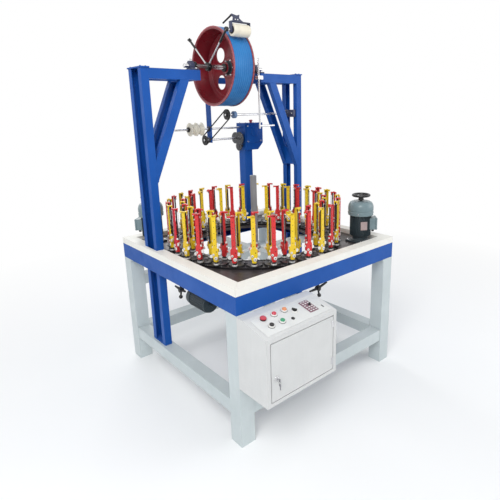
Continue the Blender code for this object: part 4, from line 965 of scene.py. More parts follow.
@dataclass
class Studio:
    """Camera, lamps, white background and floor."""

    spot: tuple[float, float, float] = (-1.9677, -2.3361, 1.8825)
    right: tuple[float, float, float] = (0.748, -0.6634, -0.0196)
    up: tuple[float, float, float] = (0.1814, 0.176, 0.9675)
    back: tuple[float, float, float] = (-0.6385, -0.7272, 0.252)
    lens: float = 31.84
    shift: tuple[float, float] = (-0.0512, -0.0475)
    ambient: float = 0.62
    floor_half: float = 12.0
    fade: tuple[float, float] = (1.6, 4.2)

    def build(self) -> None:
        """Makes the whole studio."""
        self._camera()
        self._lamp("key_lamp", (-3.2, -2.6, 4.2), 2.6, 150.0)
        self._lamp("fill_lamp", (3.6, -3.4, 2.6), 3.0, 55.0)
        self._lamp("back_lamp", (0.6, 4.2, 3.8), 3.0, 70.0)
        self._world()
        self._floor()

    def _camera(self) -> None:
        """Places the camera of the photograph."""
        data = bpy.data.cameras.new("photo_camera")
        data.sensor_width = 36.0
        data.lens = self.lens
        data.shift_x, data.shift_y = self.shift
        data.clip_start = 0.05
        camera = bpy.data.objects.new("photo_camera", data)
        axes = Matrix((self.right, self.up, self.back)).transposed().to_4x4()
        camera.matrix_world = Matrix.Translation(self.spot) @ axes
        bpy.context.scene.collection.objects.link(camera)
        bpy.context.scene.camera = camera

    def _lamp(self, name: str, spot: Point, size: float, power: float) -> None:
        """Adds a soft square lamp aimed at the machine.

        Args:
            name: its name.
            spot: its place.
            size: its side.
            power: its power in watts.
        """
        data = bpy.data.lights.new(name, "AREA")
        data.size = size
        data.energy = power
        lamp = bpy.data.objects.new(name, data)
        aim = Vector((0.0, 0.0, 1.0)) - Vector(spot)
        lamp.matrix_world = Matrix.Translation(spot) @ aim.to_track_quat("-Z", "Y").to_matrix().to_4x4()
        bpy.context.scene.collection.objects.link(lamp)

    def _world(self) -> None:
        """White where the camera, gloss and glass look, softer where it lights."""
        world = bpy.data.worlds.new("white_studio")
        world.use_nodes = True
        bpy.context.scene.world = world
        world.node_tree.nodes.clear()
        w = Wiring(world.node_tree)
        path = w.add("ShaderNodeLightPath").outputs
        seen = w.maths("MAXIMUM", path["Is Camera Ray"], path["Is Glossy Ray"])
        seen = w.maths("MAXIMUM", seen, path["Is Transmission Ray"])
        light = w.add("ShaderNodeBackground", {"Color": (0.94, 0.97, 1.0, 1.0), "Strength": self.ambient})
        white = w.add("ShaderNodeBackground", {"Color": (1.0, 1.0, 1.0, 1.0), "Strength": 1.0})
        mixed = w.add("ShaderNodeMixShader", {0: seen, 1: light.outputs[0], 2: white.outputs[0]})
        w.add("ShaderNodeOutputWorld", {0: mixed.outputs[0]})

    def _floor(self) -> None:
        """A plain floor that keeps the shadow and fades to white."""
        half = self.floor_half
        mesh = bpy.data.meshes.new("studio_floor")
        corners = [(-half, -half, 0), (half, -half, 0), (half, half, 0), (-half, half, 0)]
        mesh.from_pydata(corners, [], [(0, 1, 2, 3)])
        material = bpy.data.materials.new("studio_floor")
        material.use_nodes = True
        material.node_tree.nodes.clear()
        w = Wiring(material.node_tree)
        place = w.add("ShaderNodeTexCoord").outputs["Object"]
        far = w.add("ShaderNodeVectorMath", {0: place}, operation="LENGTH").outputs["Value"]
        share = w.span(far, 0.0, 1.0, *self.fade)
        matt = w.add("ShaderNodeBsdfDiffuse", {"Color": (0.93, 0.93, 0.93, 1.0)})
        glow = w.add("ShaderNodeEmission", {"Color": (1.0, 1.0, 1.0, 1.0), "Strength": 1.0})
        seen = w.maths("MULTIPLY", share, w.add("ShaderNodeLightPath").outputs["Is Camera Ray"])
        mixed = w.add("ShaderNodeMixShader", {0: seen, 1: matt.outputs[0], 2: glow.outputs[0]})
        w.add("ShaderNodeOutputMaterial", {0: mixed.outputs[0]})
        mesh.materials.append(material)
        floor = bpy.data.objects.new("studio_floor", mesh)
        bpy.context.scene.collection.objects.link(floor)


@dataclass
class Assembly:
    """One sub-assembly, which adds its pieces through the workshop."""

    shop: Workshop

    def build(self) -> None:
        """Makes every piece."""
        raise NotImplementedError


@dataclass
class Table(Assembly):
    """Legs, rails, band, rim, bed and the centre tube."""

    half: float = 0.712
    leg: float = 0.100
    skin: float = 0.0001
    rim_low: float = 0.9383
    band_low: float = 0.830
    band_wall: float = 0.008
    rail_low: float = 0.181
    rail_top: float = 0.268
    tube_radius: float = 0.0225
    tube_top: float = 1.440
    bar_top: float = 0.8983
    corner_screw: tuple[float, float] = (0.609, 0.950)
    track_screws: int = 40
    track_circles: tuple[float, float] = (0.4815, 0.6205)
    track_top: float = 0.9633

    def build(self) -> None:
        """Dresses the table and adds its fine detail."""
        self.shop.dress(LIGHT_GREY, "leg_", "rail_", "centre_stand")
        self.shop.dress(BLUE, "band_")
        self.shop.dress(CREAM, "rim_")
        self.shop.dress(BED_STEEL, "bed_plate")
        self._band_ends()
        self._weld_beads()
        self._centre()
        self._screws()

    def _band_ends(self) -> None:
        """Closes the open channel ends of the front and rear band, flush with the side bands."""
        mould = Mould()
        inset = self.band_wall + self.skin
        for sx, sy in CORNERS:
            across = sorted((sx * (self.half - self.skin), sx * (self.half - 0.006)))
            depth = sorted((sy * (self.half - inset), sy * (self.half - self.leg + self.skin)))
            low, high = self.band_low + inset, self.rim_low - inset
            mould.block((across[0], depth[0], low), (across[1], depth[1], high))
        self.shop.add("band_end_plates", mould, BLUE)

    def _weld_beads(self) -> None:
        """Adds fine weld beads where the rails meet the legs."""
        mould = Mould()
        for sx, sy in CORNERS:
            for inset in (0.007, 0.093):
                x, y = sx * (self.half - inset), sy * (self.half - self.leg + 0.0002)
                mould.tube([(x, y, self.rail_low + 0.006), (x, y, self.rail_top - 0.004)], BEAD_RADIUS, 8)
        self.shop.add("rail_weld_beads", mould, LIGHT_GREY)

    def _centre(self) -> None:
        """Adds the round centre tube over the CAD one, with a rolled lip and a collar."""
        wall, low, top = self.tube_radius, self.bar_top, self.tube_top
        skin = [
            (wall + 0.0004, low + 0.001), (wall + 0.0004, top - 0.001), (wall - 0.001, top - 0.0002),
            (wall - 0.0055, top - 0.001), (wall - 0.0055, top - 0.020), (wall - 0.0015, top - 0.020),
            (wall - 0.0015, low + 0.001),
        ]
        self.shop.add("centre_tube_skin", Mould().lathe(skin, steps=48, loop=True), TUBE_GREY)
        collar = [
            (wall + 0.0002, low + 0.0005), (0.040, low + 0.0005), (0.040, low + 0.010),
            (0.031, low + 0.014), (0.031, low + 0.030), (wall + 0.0002, low + 0.030),
        ]
        self.shop.add("centre_tube_collar", Mould().lathe(collar, steps=36, loop=True), DULL_STEEL)

    def _screws(self) -> None:
        """Adds the screws of the bed and of the ring's track."""
        reach, bed = self.corner_screw
        spots = [((sx * reach, sy * reach, bed), UP) for sx, sy in CORNERS if sx == sy]
        for pair in zip(*(circle(self.track_screws, radius, 0.5) for radius in self.track_circles)):
            spots += [((*spot, self.track_top), UP) for spot in pair]
        self.shop.fasten("track_screws", spots, 0.62, finish=DULL_STEEL, socket=True)


@dataclass
class CarrierRing(Assembly):
    """Track, horn gears and the two rows of bobbin carriers."""

    gears: int = 32
    radius: float = 0.558
    gear_radius: float = 0.0540
    track: tuple[float, float] = (0.478, 0.624)
    track_low: float = 0.9503
    track_high: float = 0.9603
    gear_top: float = 0.9703
    notch: float = 0.012
    lip: float = 0.003
    height: float = 0.315
    body_top: float = 0.110
    body_half: float = 0.022
    foot_half: float = 0.013
    post_half: float = 0.0127
    post_wall: float = 0.0028
    post_top: float = 0.307
    front: float = 0.011
    row_step: float = 0.0547
    side_arm: float = 0.022
    ear: float = 0.0290
    ear_heights: tuple[tuple[int, float], ...] = ((-1, 0.054), (1, 0.079))
    hub: Outline = ((0, 0), (0.019, 0), (0.019, 0.004), (0.013, 0.006), (0.013, 0.010), (0, 0.010))
    foot_ring: Outline = (
        (0, 0.002), (0.0174, 0.002), (0.0184, 0.003), (0.0184, 0.0100), (0.0168, 0.0115), (0, 0.0115),
    )
    neck: Outline = (
        (0, 0.011), (0.0150, 0.011), (0.0160, 0.0120), (0.0160, 0.0150), (0.0110, 0.0175), (0.0100, 0.0260),
        (0, 0.0260),
    )
    disc: Outline = (
        (0, 0.0001), (0.0250, 0.0001), (0.0258, 0.0008), (0.0258, 0.0026), (0.0245, 0.0034), (0, 0.0034),
    )
    spindle: Outline = (
        (0, 0.098), (0.0062, 0.098), (0.0062, 0.112), (0.0046, 0.114), (0.0046, 0.170), (0.0058, 0.172),
        (0.0058, 0.184), (0.0046, 0.186), (0.0046, 0.288), (0.0056, 0.290), (0.0056, 0.3075), (0, 0.3075),
    )
    groove: Outline = (
        (0, 0), (0.0098, 0), (0.0110, 0.0012), (0.0082, 0.0032), (0.0110, 0.0052), (0.0098, 0.0064),
        (0, 0.0064),
    )
    knob: Outline = ((0, 0), (0.0064, 0), (0.0064, 0.006), (0.0048, 0.0105), (0, 0.0115))

    def build(self) -> None:
        """Makes the track, the gears and both rows of carriers."""
        shop, pitch = self.shop, math.tau / self.gears
        shop.dress(TRACK_STEEL, "ring_sector_")
        sectors = [f"ring_sector_{index + 1}" for index in range(8)]
        shop.add("ring_track", self._track(), TRACK_STEEL, stands_for=sectors)
        gear = self._gear().mesh("gear_template")
        shop.add(
            "horn_gears", shop.grow.around(gear, TRACK_STEEL, self.gears, self.radius, pitch / 2), GEAR_STEEL
        )
        screws = [
            ((*spot, self.gear_top + self.hub[-1][1]), UP) for spot in circle(self.gears, self.radius, 0.5)
        ]
        shop.fasten("horn_gear_bolts", screws, 1.1, finish=DULL_STEEL)
        for name, template, finish in (
            ("carrier_foot_rings", Mould().lathe(self.foot_ring, steps=20), FOOT_ALLOY),
            ("carrier_foot_discs", Mould().lathe(self.neck, steps=18).lathe(self.disc, steps=18), BLACK),
            (
                "carrier_spindles",
                Mould().lathe(self.spindle, Axis.Z.matrix((-0.009, 0, 0)), 12),
                DARK_SPINDLE,
            ),
            ("carrier_wires", self._wire(), BRIGHT_STEEL),
            ("carrier_pulleys", self._pulleys(), WHITE_NYLON),
            ("carrier_hole_plugs", self._screw_heads(), BLACK),
        ):
            self._both_rows(name, template.mesh(f"{name}_template"), finish, self.gears, (0.5, 0.5))
        casting = self._casting().mesh("casting_template")
        self._both_rows("carrier_castings_yellow", casting, CARRIER_YELLOW, self.gears // 2, (0.5, 1.5))
        self._both_rows("carrier_castings_red", casting, CARRIER_RED, self.gears // 2, (1.5, 0.5))

    def _both_rows(
        self, name: str, template: Mesh, finish: Finish, count: int, steps: tuple[float, float]
    ) -> None:
        """Copies a template to the outer row, and turned round to the inner row.

        Args:
            name: the piece's name.
            template: the shape, with +X outwards.
            finish: its finish.
            count: how many copies each row has.
            steps: the first copy's place in each row, in gear pitches.
        """
        turned = template.copy()
        turned.transform(Matrix.Rotation(math.pi, 4, "Z"))
        mould = Mould()
        for shape, step, way in zip((template, turned), steps, (1, -1)):
            phase = step * math.tau / self.gears
            radius = self.radius + way * self.row_step
            mould.join(self.shop.grow.around(shape, finish, count, radius, phase, self.gear_top))
        self.shop.add(name, mould, finish)

    def _track(self) -> Mould:
        """Returns the flat ring that the gears run on, with a raised lip on each side."""
        low, high, top = self.track_low, self.track_high, self.track_high + self.lip
        inner, outer = self.track
        profile = [
            (inner, low), (inner, top), (inner + 0.006, top), (inner + 0.007, high),
            (outer - 0.007, high), (outer - 0.006, top), (outer, top), (outer, low),
        ]
        return Mould().lathe(profile, steps=128, loop=True)

    def _gear(self) -> Mould:
        """Returns a flat gear with four round notches, and its hub."""
        outline = []
        for quarter in range(4):
            middle = math.tau * quarter / 4
            for step in range(7):
                dip = self.notch * math.sin(math.pi * step / 6)
                outline.append(polar(self.gear_radius - dip, middle + math.radians(32 * step / 6 - 16)))
            outline += [polar(self.gear_radius, middle + math.radians(turn)) for turn in range(24, 65, 8)]
        low = self.track_high - 0.0005
        mould = Mould().prism(outline, self.gear_top - low, Axis.Z.matrix((0, 0, low)), 0.0008)
        return mould.lathe(self.hub, Axis.Z.matrix((0, 0, self.gear_top)), 18)

    def _casting(self) -> Mould:
        """Returns the vase-shaped body with its ears, the channel post and the bent arms, facing +X."""
        wide, foot, post, top = self.body_half, self.foot_half, self.post_half, self.body_top
        front, height, wall = self.front, self.height, self.post_wall
        side = [
            (foot * 0.62, 0.0215), (foot, 0.026), (foot + 0.001, 0.036), (wide - 0.004, 0.054), (wide, 0.064),
            (wide, top - 0.004), (wide - 0.004, top), (post + 0.002, top + 0.006),
        ]
        mould = Mould().prism(
            side + [(-y, z) for y, z in reversed(side)], 0.010, across_x((0.0005, 0, 0)), 0.0012
        )
        mould.block((-0.010, -0.012, 0.022), (0.002, 0.012, top - 0.010), 0.0015)
        for way, high in self.ear_heights:
            near = way * (wide - 0.0055)
            mould.block((-0.010, near - 0.0035, 0.062), (0.002, near + 0.0035, top - 0.006), 0.001)
            ends = sorted((way * (wide - 0.008), way * self.ear))
            mould.block((-0.0045, ends[0], high - 0.0048), (0.0035, ends[1], high + 0.0048), 0.0012)
        half = [(post, 0), (post, -0.0065), (post - wall, -0.0065), (post - wall, -0.0026)]
        channel = half + [(-x, y) for x, y in reversed(half)]
        low = top - 0.004
        swapped = Matrix(((0, 1, 0, front), (1, 0, 0, 0), (0, 0, 1, low), (0, 0, 0, 1)))
        mould.prism(channel, height - low - 0.0005, swapped)
        mould.block((-0.022, -0.0068, self.post_top), (front - 0.0015, 0.0068, height - 0.0008), 0.0012)
        mould.block((front - 0.010, -post, height - 0.012), (front, post, height - 0.0002), 0.0012)
        reach = post + self.side_arm
        mould.block((front - 0.0085, -reach, height - 0.0115), (front, 0, height - 0.0004), 0.0012)
        mould.rod((-0.017, 0, height - 0.024), (-0.017, 0, self.post_top + 0.002), 0.0042, 10)
        for high in (0.150, 0.205, 0.262):
            mould.rod((0.004, post - 0.0005, high), (0.004, post + 0.0035, high), 0.0028, 8)
        return mould

    def _wire(self) -> Mould:
        """Returns the thin bright wire beside the spindle."""
        mould = Mould().rod((-0.0175, 0.0085, 0.062), (-0.0175, 0.0085, 0.292), 0.0013, 8, 0.0002)
        return mould.rod((-0.0175, 0.0085, 0.290), (-0.0175, -0.0005, 0.297), 0.0013, 8, 0.0002)

    def _pulleys(self) -> Mould:
        """Returns the white pulleys on the body, the two top knobs and the eyes of the arms."""
        wide, face = self.body_half, self.front - 0.0004
        small = [(radius * 0.70, height * 0.8) for radius, height in self.groove]
        mould = Mould().lathe(self.groove, Axis.X.matrix((face, 0.0065, 0.046)), 16)
        mould.lathe(small, Axis.X.matrix((face, -0.0105, 0.068)), 14)
        mould.lathe(small, Axis.Y.matrix((-0.002, wide - 0.0055, 0.084)), 14)
        mould.rod((-0.002, 0.001 - wide, 0.090), (-0.002, -0.0045 - wide, 0.090), 0.0062, 12)
        for way, high in self.ear_heights:
            mould.lathe(self.groove, Axis.X.matrix((0.0033, way * self.ear, high)), 16)
            mould.lathe(self.knob, Axis.Z.matrix((0.003, way * (wide - 0.0058), self.body_top - 0.0012)), 12)
        end = 0.004 - self.post_half - self.side_arm
        mould.rod((0.0065, end, self.height - 0.0175), (0.0065, end, self.height - 0.009), 0.0036, 10)
        return mould.rod((-0.017, 0, self.height - 0.029), (-0.017, 0, self.height - 0.0235), 0.0050, 12)

    def _screw_heads(self) -> Mould:
        """Returns the dark screw heads: three on the body and five up the post."""
        heads = [
            (0.004, 0.0072, 0.0065, 0.046, 0.0034, 0.0005), (0.003, 0.0058, -0.0105, 0.068, 0.0024, 0.0003),
            (-0.002, 0.0008, 0.010, 0.088, 0.0036, 0.0003),
        ]
        heads += [(-0.002, 0.0005, 0.0, 0.128 + 0.038 * index, 0.0026, 0.0002) for index in range(5)]
        mould = Mould()
        for near, far, y, z, radius, cut in heads:
            mould.rod((self.front + near, y, z), (self.front + far, y, z), radius, 10, cut)
        return mould


@dataclass
class Gantry(Assembly):
    """The two gantries with the drive's post and box, their weld beads and cap bolts."""

    column: float = 0.663
    half_web: float = 0.026
    flange: float = 0.040
    front: float = 0.2025
    back: float = 0.3775
    top: float = 2.158
    cap_top: float = 2.1663
    beam_low: float = 2.093
    brace_low: float = 1.440
    bolt_step: float = 0.018

    def build(self) -> None:
        """Dresses the gantries, and adds their beads and bolts."""
        self.shop.dress(BLUE, "gantry_", "drive_post", "drive_box", "hanger_bar", "rear_arm")
        beads, spots = Mould(), []
        lines = (
            self.front + 0.004, self.front + self.flange - 0.004,
            self.back - self.flange + 0.004, self.back - 0.004,
        )
        for sx in (-1, 1):
            x = sx * (self.column - self.half_web - 0.0006)
            for y in lines:
                for low, high in (
                    (self.beam_low + 0.002, self.top - 0.003), (self.brace_low, self.brace_low + 0.110)
                ):
                    beads.tube([(x, y, low), (x, y, high)], BEAD_RADIUS, 8)
            for y in (self.front + self.bolt_step, self.back - self.bolt_step):
                for step in (-self.bolt_step, self.bolt_step):
                    spots.append(((sx * self.column + step, y, self.cap_top), UP))
        self.shop.add("gantry_weld_beads", beads, BLUE)
        self.shop.fasten("gantry_cap_bolts", spots, 0.85, finish=BLUE)


@dataclass
class TakeUpDrum(Assembly):
    """The drum with its lagging, skin, ridges, bolts and hub."""

    axis_y: float = 0.290
    axis_z: float = 2.192
    near: float = -0.108
    width: float = 0.172
    lip: float = 0.268
    flange: float = 0.270
    lagging: float = 0.262
    ribs: int = 9
    body: str = "take_up_drum"
    web: float = 0.142
    hole_circle: float = 0.135
    hole: float = 0.055
    bolt_circle: float = 0.056

    def build(self) -> None:
        """Dresses the drum."""
        shop, place = self.shop, Axis.X.matrix(self._at(0.0))
        shop.dress(DRUM_RED, "take_up_drum")
        shop.add(
            "drum_lagging", Mould().lathe(self._ribbed(), place, 144, loop=True), LAGGING_BLUE, self.body
        )
        shop.add("drum_skin", self._skin(place), DRUM_RED, self.body)
        lips = Mould().ring(self._at(0.0020), self.lip - 0.0048, 0.0044, Axis.X, 128)
        lips.ring(self._at(self.width - 0.0068), self.flange - 0.0062, 0.0066, Axis.X, 128)
        shop.add("drum_lips", lips, LIP_RED, self.body)
        shop.add("drum_hub", Mould().lathe(self._hub(), place, 48, loop=True), MOTOR_DARK, self.body)
        spots = []
        for spot in circle(6, self.bolt_circle):
            spots += [
                (self._at(self.web - 0.0005, *spot), (-1, 0, 0)),
                (self._at(self.web + 0.0085, *spot), (1, 0, 0))
            ]
        shop.fasten("drum_bolts", spots, 0.9, self.body)

    def _at(self, depth: float, across: float = 0.0, up: float = 0.0) -> Point:
        """Gives a point from the middle of the drum's near face.

        Args:
            depth: how far along the axis it is.
            across: how far back.
            up: how far up.

        Returns:
            The point.
        """
        return self.near + depth, self.axis_y + across, self.axis_z + up

    def _ribbed(self) -> Outline:
        """Returns the lagging's profile with its ribs."""
        low, high, steps = 0.0068, self.width - 0.0148, self.ribs * 4
        outer = []
        for step in range(steps + 1):
            rib = 0.0009 * math.cos(math.tau * step / 4)
            outer.append((self.lagging + 0.0034 + rib, low + (high - low) * step / steps))
        return [(self.lagging + 0.0002, low), *outer, (self.lagging + 0.0002, high)]

    def _skin(self, place: Matrix) -> Mould:
        """Makes the smooth inner wall, the ridges of the web and the hole rims.

        Args:
            place: the drum's placement.

        Returns:
            Their mould.
        """
        wall, step = self.lagging - 0.012, self.web - 0.012
        mould = Mould()
        for thin, low, high in (
            (0.0022, 0.003, step - 0.001), (0.0020, self.web + 0.009, self.width - 0.001)
        ):
            profile = [(wall - 0.0003, low), (wall - thin, low), (wall - thin, high), (wall - 0.0003, high)]
            mould.lathe(profile, place, 120, loop=True)
        ridges = [(0.204, 0.0030, step), (0.216, 0.0026, step), (0.228, 0.0026, step), (0.240, 0.0026, step)]
        for radius, thick, depth in (*ridges, (0.068, 0.0030, self.web), (0.076, 0.0022, self.web)):
            mould.ring(self._at(depth), radius, thick, Axis.X, 96)
        for spot in circle(4, self.hole_circle, 0.5):
            mould.ring(self._at(self.web + 0.004, *spot), self.hole, 0.0048, Axis.X, 40)
        return mould

    def _hub(self) -> Outline:
        """Returns the profile of the round hub on both sides of the web."""
        start, end, web = self.width - 0.060, self.width, self.web
        return [
            (0.0175, start + 0.0002), (0.0385, start + 0.0002), (0.0410, start + 0.002),
            (0.0415, web - 0.004),
            (0.0500, web - 0.0004), (0.0500, web + 0.0084), (0.0415, web + 0.012), (0.0410, end - 0.002),
            (0.0385, end - 0.0002), (0.0175, end - 0.0002),
        ]


@dataclass
class DrumShaft(Assembly):
    """The fixed shaft with its bearings, collars, spread rods, bracket and press roller."""

    axis_y: float = 0.290
    axis_z: float = 2.192
    ends: tuple[float, float] = (-0.335, 0.345)
    radius: float = 0.015
    rod_x: float = -0.140
    rod_length: float = 0.300
    rod_angle: float = math.radians(138.0)
    roller_reach: float = 0.318
    roller_radius: float = 0.040
    roller_low: float = -0.096
    roller_length: float = 0.134
    collars: tuple[float, ...] = (0.066, -0.012, -0.152, -0.2565, 0.2635, 0.150)
    block_spots: tuple[float, float] = (-0.281, 0.287)
    block_half: float = 0.019
    beam_top: float = 2.1583
    tail_rise: float = 0.053

    def build(self) -> None:
        """Makes the shaft and what it carries."""
        self.shop.dress(BRIGHT_STEEL, "drum_shaft")
        self.shop.dress(IVORY, "press_roller")
        y, z = self.axis_y, self.axis_z
        shaft = Mould().rod((self.ends[0], y, z), (self.ends[1], y, z), self.radius, 36, 0.0015)
        back, rise = polar(1.0, self.rod_angle)
        top = (self.rod_x, y + self.roller_reach * back, z + self.roller_reach * rise)
        eye = (self.rod_x, y - self.rod_length * back, z + self.rod_length * rise)
        for end in (top, eye):
            shaft.rod((self.rod_x, y, z), end, 0.0062, 18)
        self.shop.add("drum_dead_shaft", shaft, BRIGHT_STEEL, stands_for=["drum_shaft"])
        self._black_parts(top, eye)
        self._bearings()
        self._bracket(top)
        self._roller(top)

    def _black_parts(self, top: Point, eye: Point) -> None:
        """Adds the collars, the rods' clamp, the eye and the dark rod ends.

        Args:
            top: the upper end of the roller's rod.
            eye: the end of the other rod.
        """
        y, z = self.axis_y, self.axis_z
        mould = Mould()
        for x in self.collars:
            mould.collar((x, y, z), 0.0152, 0.0280, 0.014)
        mould.collar((self.rod_x - 0.014, y, z), 0.0152, 0.0280, 0.028, 0.001)
        hub = Vector((self.rod_x, y, z))
        for end in (top, eye):
            mould.rod(hub.lerp(Vector(end), 0.66), hub.lerp(Vector(end), 0.985), 0.0078, 16)
        mould.ring(eye, 0.0105, 0.0040, Axis.X, 24)
        mould.rod((eye[0] - 0.014, *eye[1:]), (eye[0] + 0.014, *eye[1:]), 0.0068, 12)
        mould.collar((self.rod_x - 0.008, *top[1:]), 0.0062, 0.0150, 0.016, 0.001, 24, both=False)
        self.shop.add("shaft_collars", mould, BLACK)
        spots = [((self.rod_x, y, z - 0.0278), DOWN)]
        spots += [((x, y - 0.0278, z), FORWARD) for x in (0.073, -0.145, -0.2495)]
        self.shop.fasten("collar_screws", spots, 0.8, finish=DULL_STEEL, socket=True)

    def _bearings(self) -> None:
        """Adds the two pillow blocks on the beams."""
        y, z, half = self.axis_y, self.axis_z, self.block_half
        low = self.beam_top + 0.0002
        side = [(-0.050, 0), (-0.030, 0.012), (-0.026, 0.034), (-0.014, 0.061)]
        rise = side + [(-across, up) for across, up in reversed(side)]
        mould, spots = Mould(), []
        for x in self.block_spots:
            mould.block((x - half, y - 0.083, low), (x + half, y + 0.083, low + 0.010), 0.0022)
            mould.prism(rise, 2 * half - 0.008, across_x((x - half + 0.004, y, low + 0.004)), 0.003)
            mould.collar((x - 0.017, y, z), 0.0155, 0.0300, 0.034, 0.002, 36)
            spots += [((x, y + across, low + 0.010), UP) for across in (-0.067, 0.067)]
            spots.append(((x, y, z + 0.0385), UP))
        self.shop.add("pillow_blocks", mould, BRACKET_BLUE)
        self.shop.fasten("pillow_bolts", spots, 1.2)

    def _bracket(self, top: Point) -> None:
        """Adds the roller's bracket with its shaped tail and strap.

        Args:
            top: the roller's middle line.
        """
        y, z = top[1:]
        low, high = self.roller_low - 0.011, self.roller_low + self.roller_length + 0.005
        roof, rise = z + self.roller_radius + 0.008, self.tail_rise
        mould = Mould()
        for x in (low, high):
            mould.block((x, y - 0.016, z - 0.016), (x + 0.006, y + 0.016, roof + 0.002), 0.0015)
        mould.block((low, y - 0.016, roof), (high + 0.006, y + 0.016, roof + 0.0058), 0.0012)
        tail = [
            (low + 0.010, 0), (low + 0.135, 0), (low + 0.098, 0.020), (low + 0.084, 0.030),
            (low + 0.086, rise - 0.001),
            (low + 0.062, rise - 0.008), (low + 0.022, rise - 0.001), (low + 0.014, rise - 0.006),
            (low + 0.034, 0.032), (low + 0.030, 0.012),
        ]
        mould.prism(tail, 0.0056, Matrix.Translation((0, y + 0.0158, roof + 0.001)) @ TO_FRONT, 0.001)
        self.shop.add("roller_bracket", mould, BRACKET_BLUE)
        start = (low + 0.020, y + 0.020, roof + rise - 0.012)
        strap = Mould().rod(start, (low + 0.012, y + 0.098, roof + 0.006), 0.0058, 14).ball(start, 0.0075)
        self.shop.add("bracket_strap", strap, BLACK)
        pin = Mould().rod((low - 0.030, y, z), (high + 0.012, y, z), 0.0058, 18)
        self.shop.add("roller_pin", pin, BRIGHT_STEEL)
        spots = [((high + 0.0062, y + step, z), (1, 0, 0)) for step in (-0.0105, 0.0105)]
        spots += [((low + step, y + 0.0098, roof + 0.020), FORWARD) for step in (0.050, 0.070)]
        self.shop.fasten("bracket_bolts", spots, 0.6)

    def _roller(self, top: Point) -> None:
        """Adds the ivory press roller with dark end caps.

        Args:
            top: the roller's middle line.
        """
        length, radius = self.roller_length, self.roller_radius - 0.0004
        body = [
            (0.0075, 0.0006), (radius - 0.0026, 0.0006), (radius, 0.0034), (radius, length * 0.30),
            (radius - 0.0008, length * 0.31), (radius, length * 0.32), (radius, length - 0.0034),
            (radius - 0.0026, length - 0.0006), (0.0075, length - 0.0006),
        ]
        sleeve = Mould().lathe(body, Axis.X.matrix((self.roller_low, *top[1:])), 64, loop=True)
        self.shop.add("press_roller_sleeve", sleeve, IVORY, "press_roller", ["press_roller"])
        caps = Mould()
        for start in (-0.0006, length - 0.0034):
            caps.collar((self.roller_low + start, *top[1:]), 0.0078, 0.026, 0.004, 0.002, 36)
        self.shop.add("press_roller_caps", caps, BLACK, "press_roller")


def toothed(radius: float, teeth: int, depth: float) -> Outline:
    """Draws a toothed wheel.

    Args:
        radius: its outside radius.
        teeth: how many teeth it has.
        depth: their depth.

    Returns:
        The outline's corners.
    """
    shares = ((0.0, depth), (0.22, depth), (0.36, 0.0), (0.64, 0.0), (0.78, depth))
    return [
        polar(radius - cut, math.tau * (tooth + share) / teeth)
        for tooth in range(teeth) for share, cut in shares
    ]


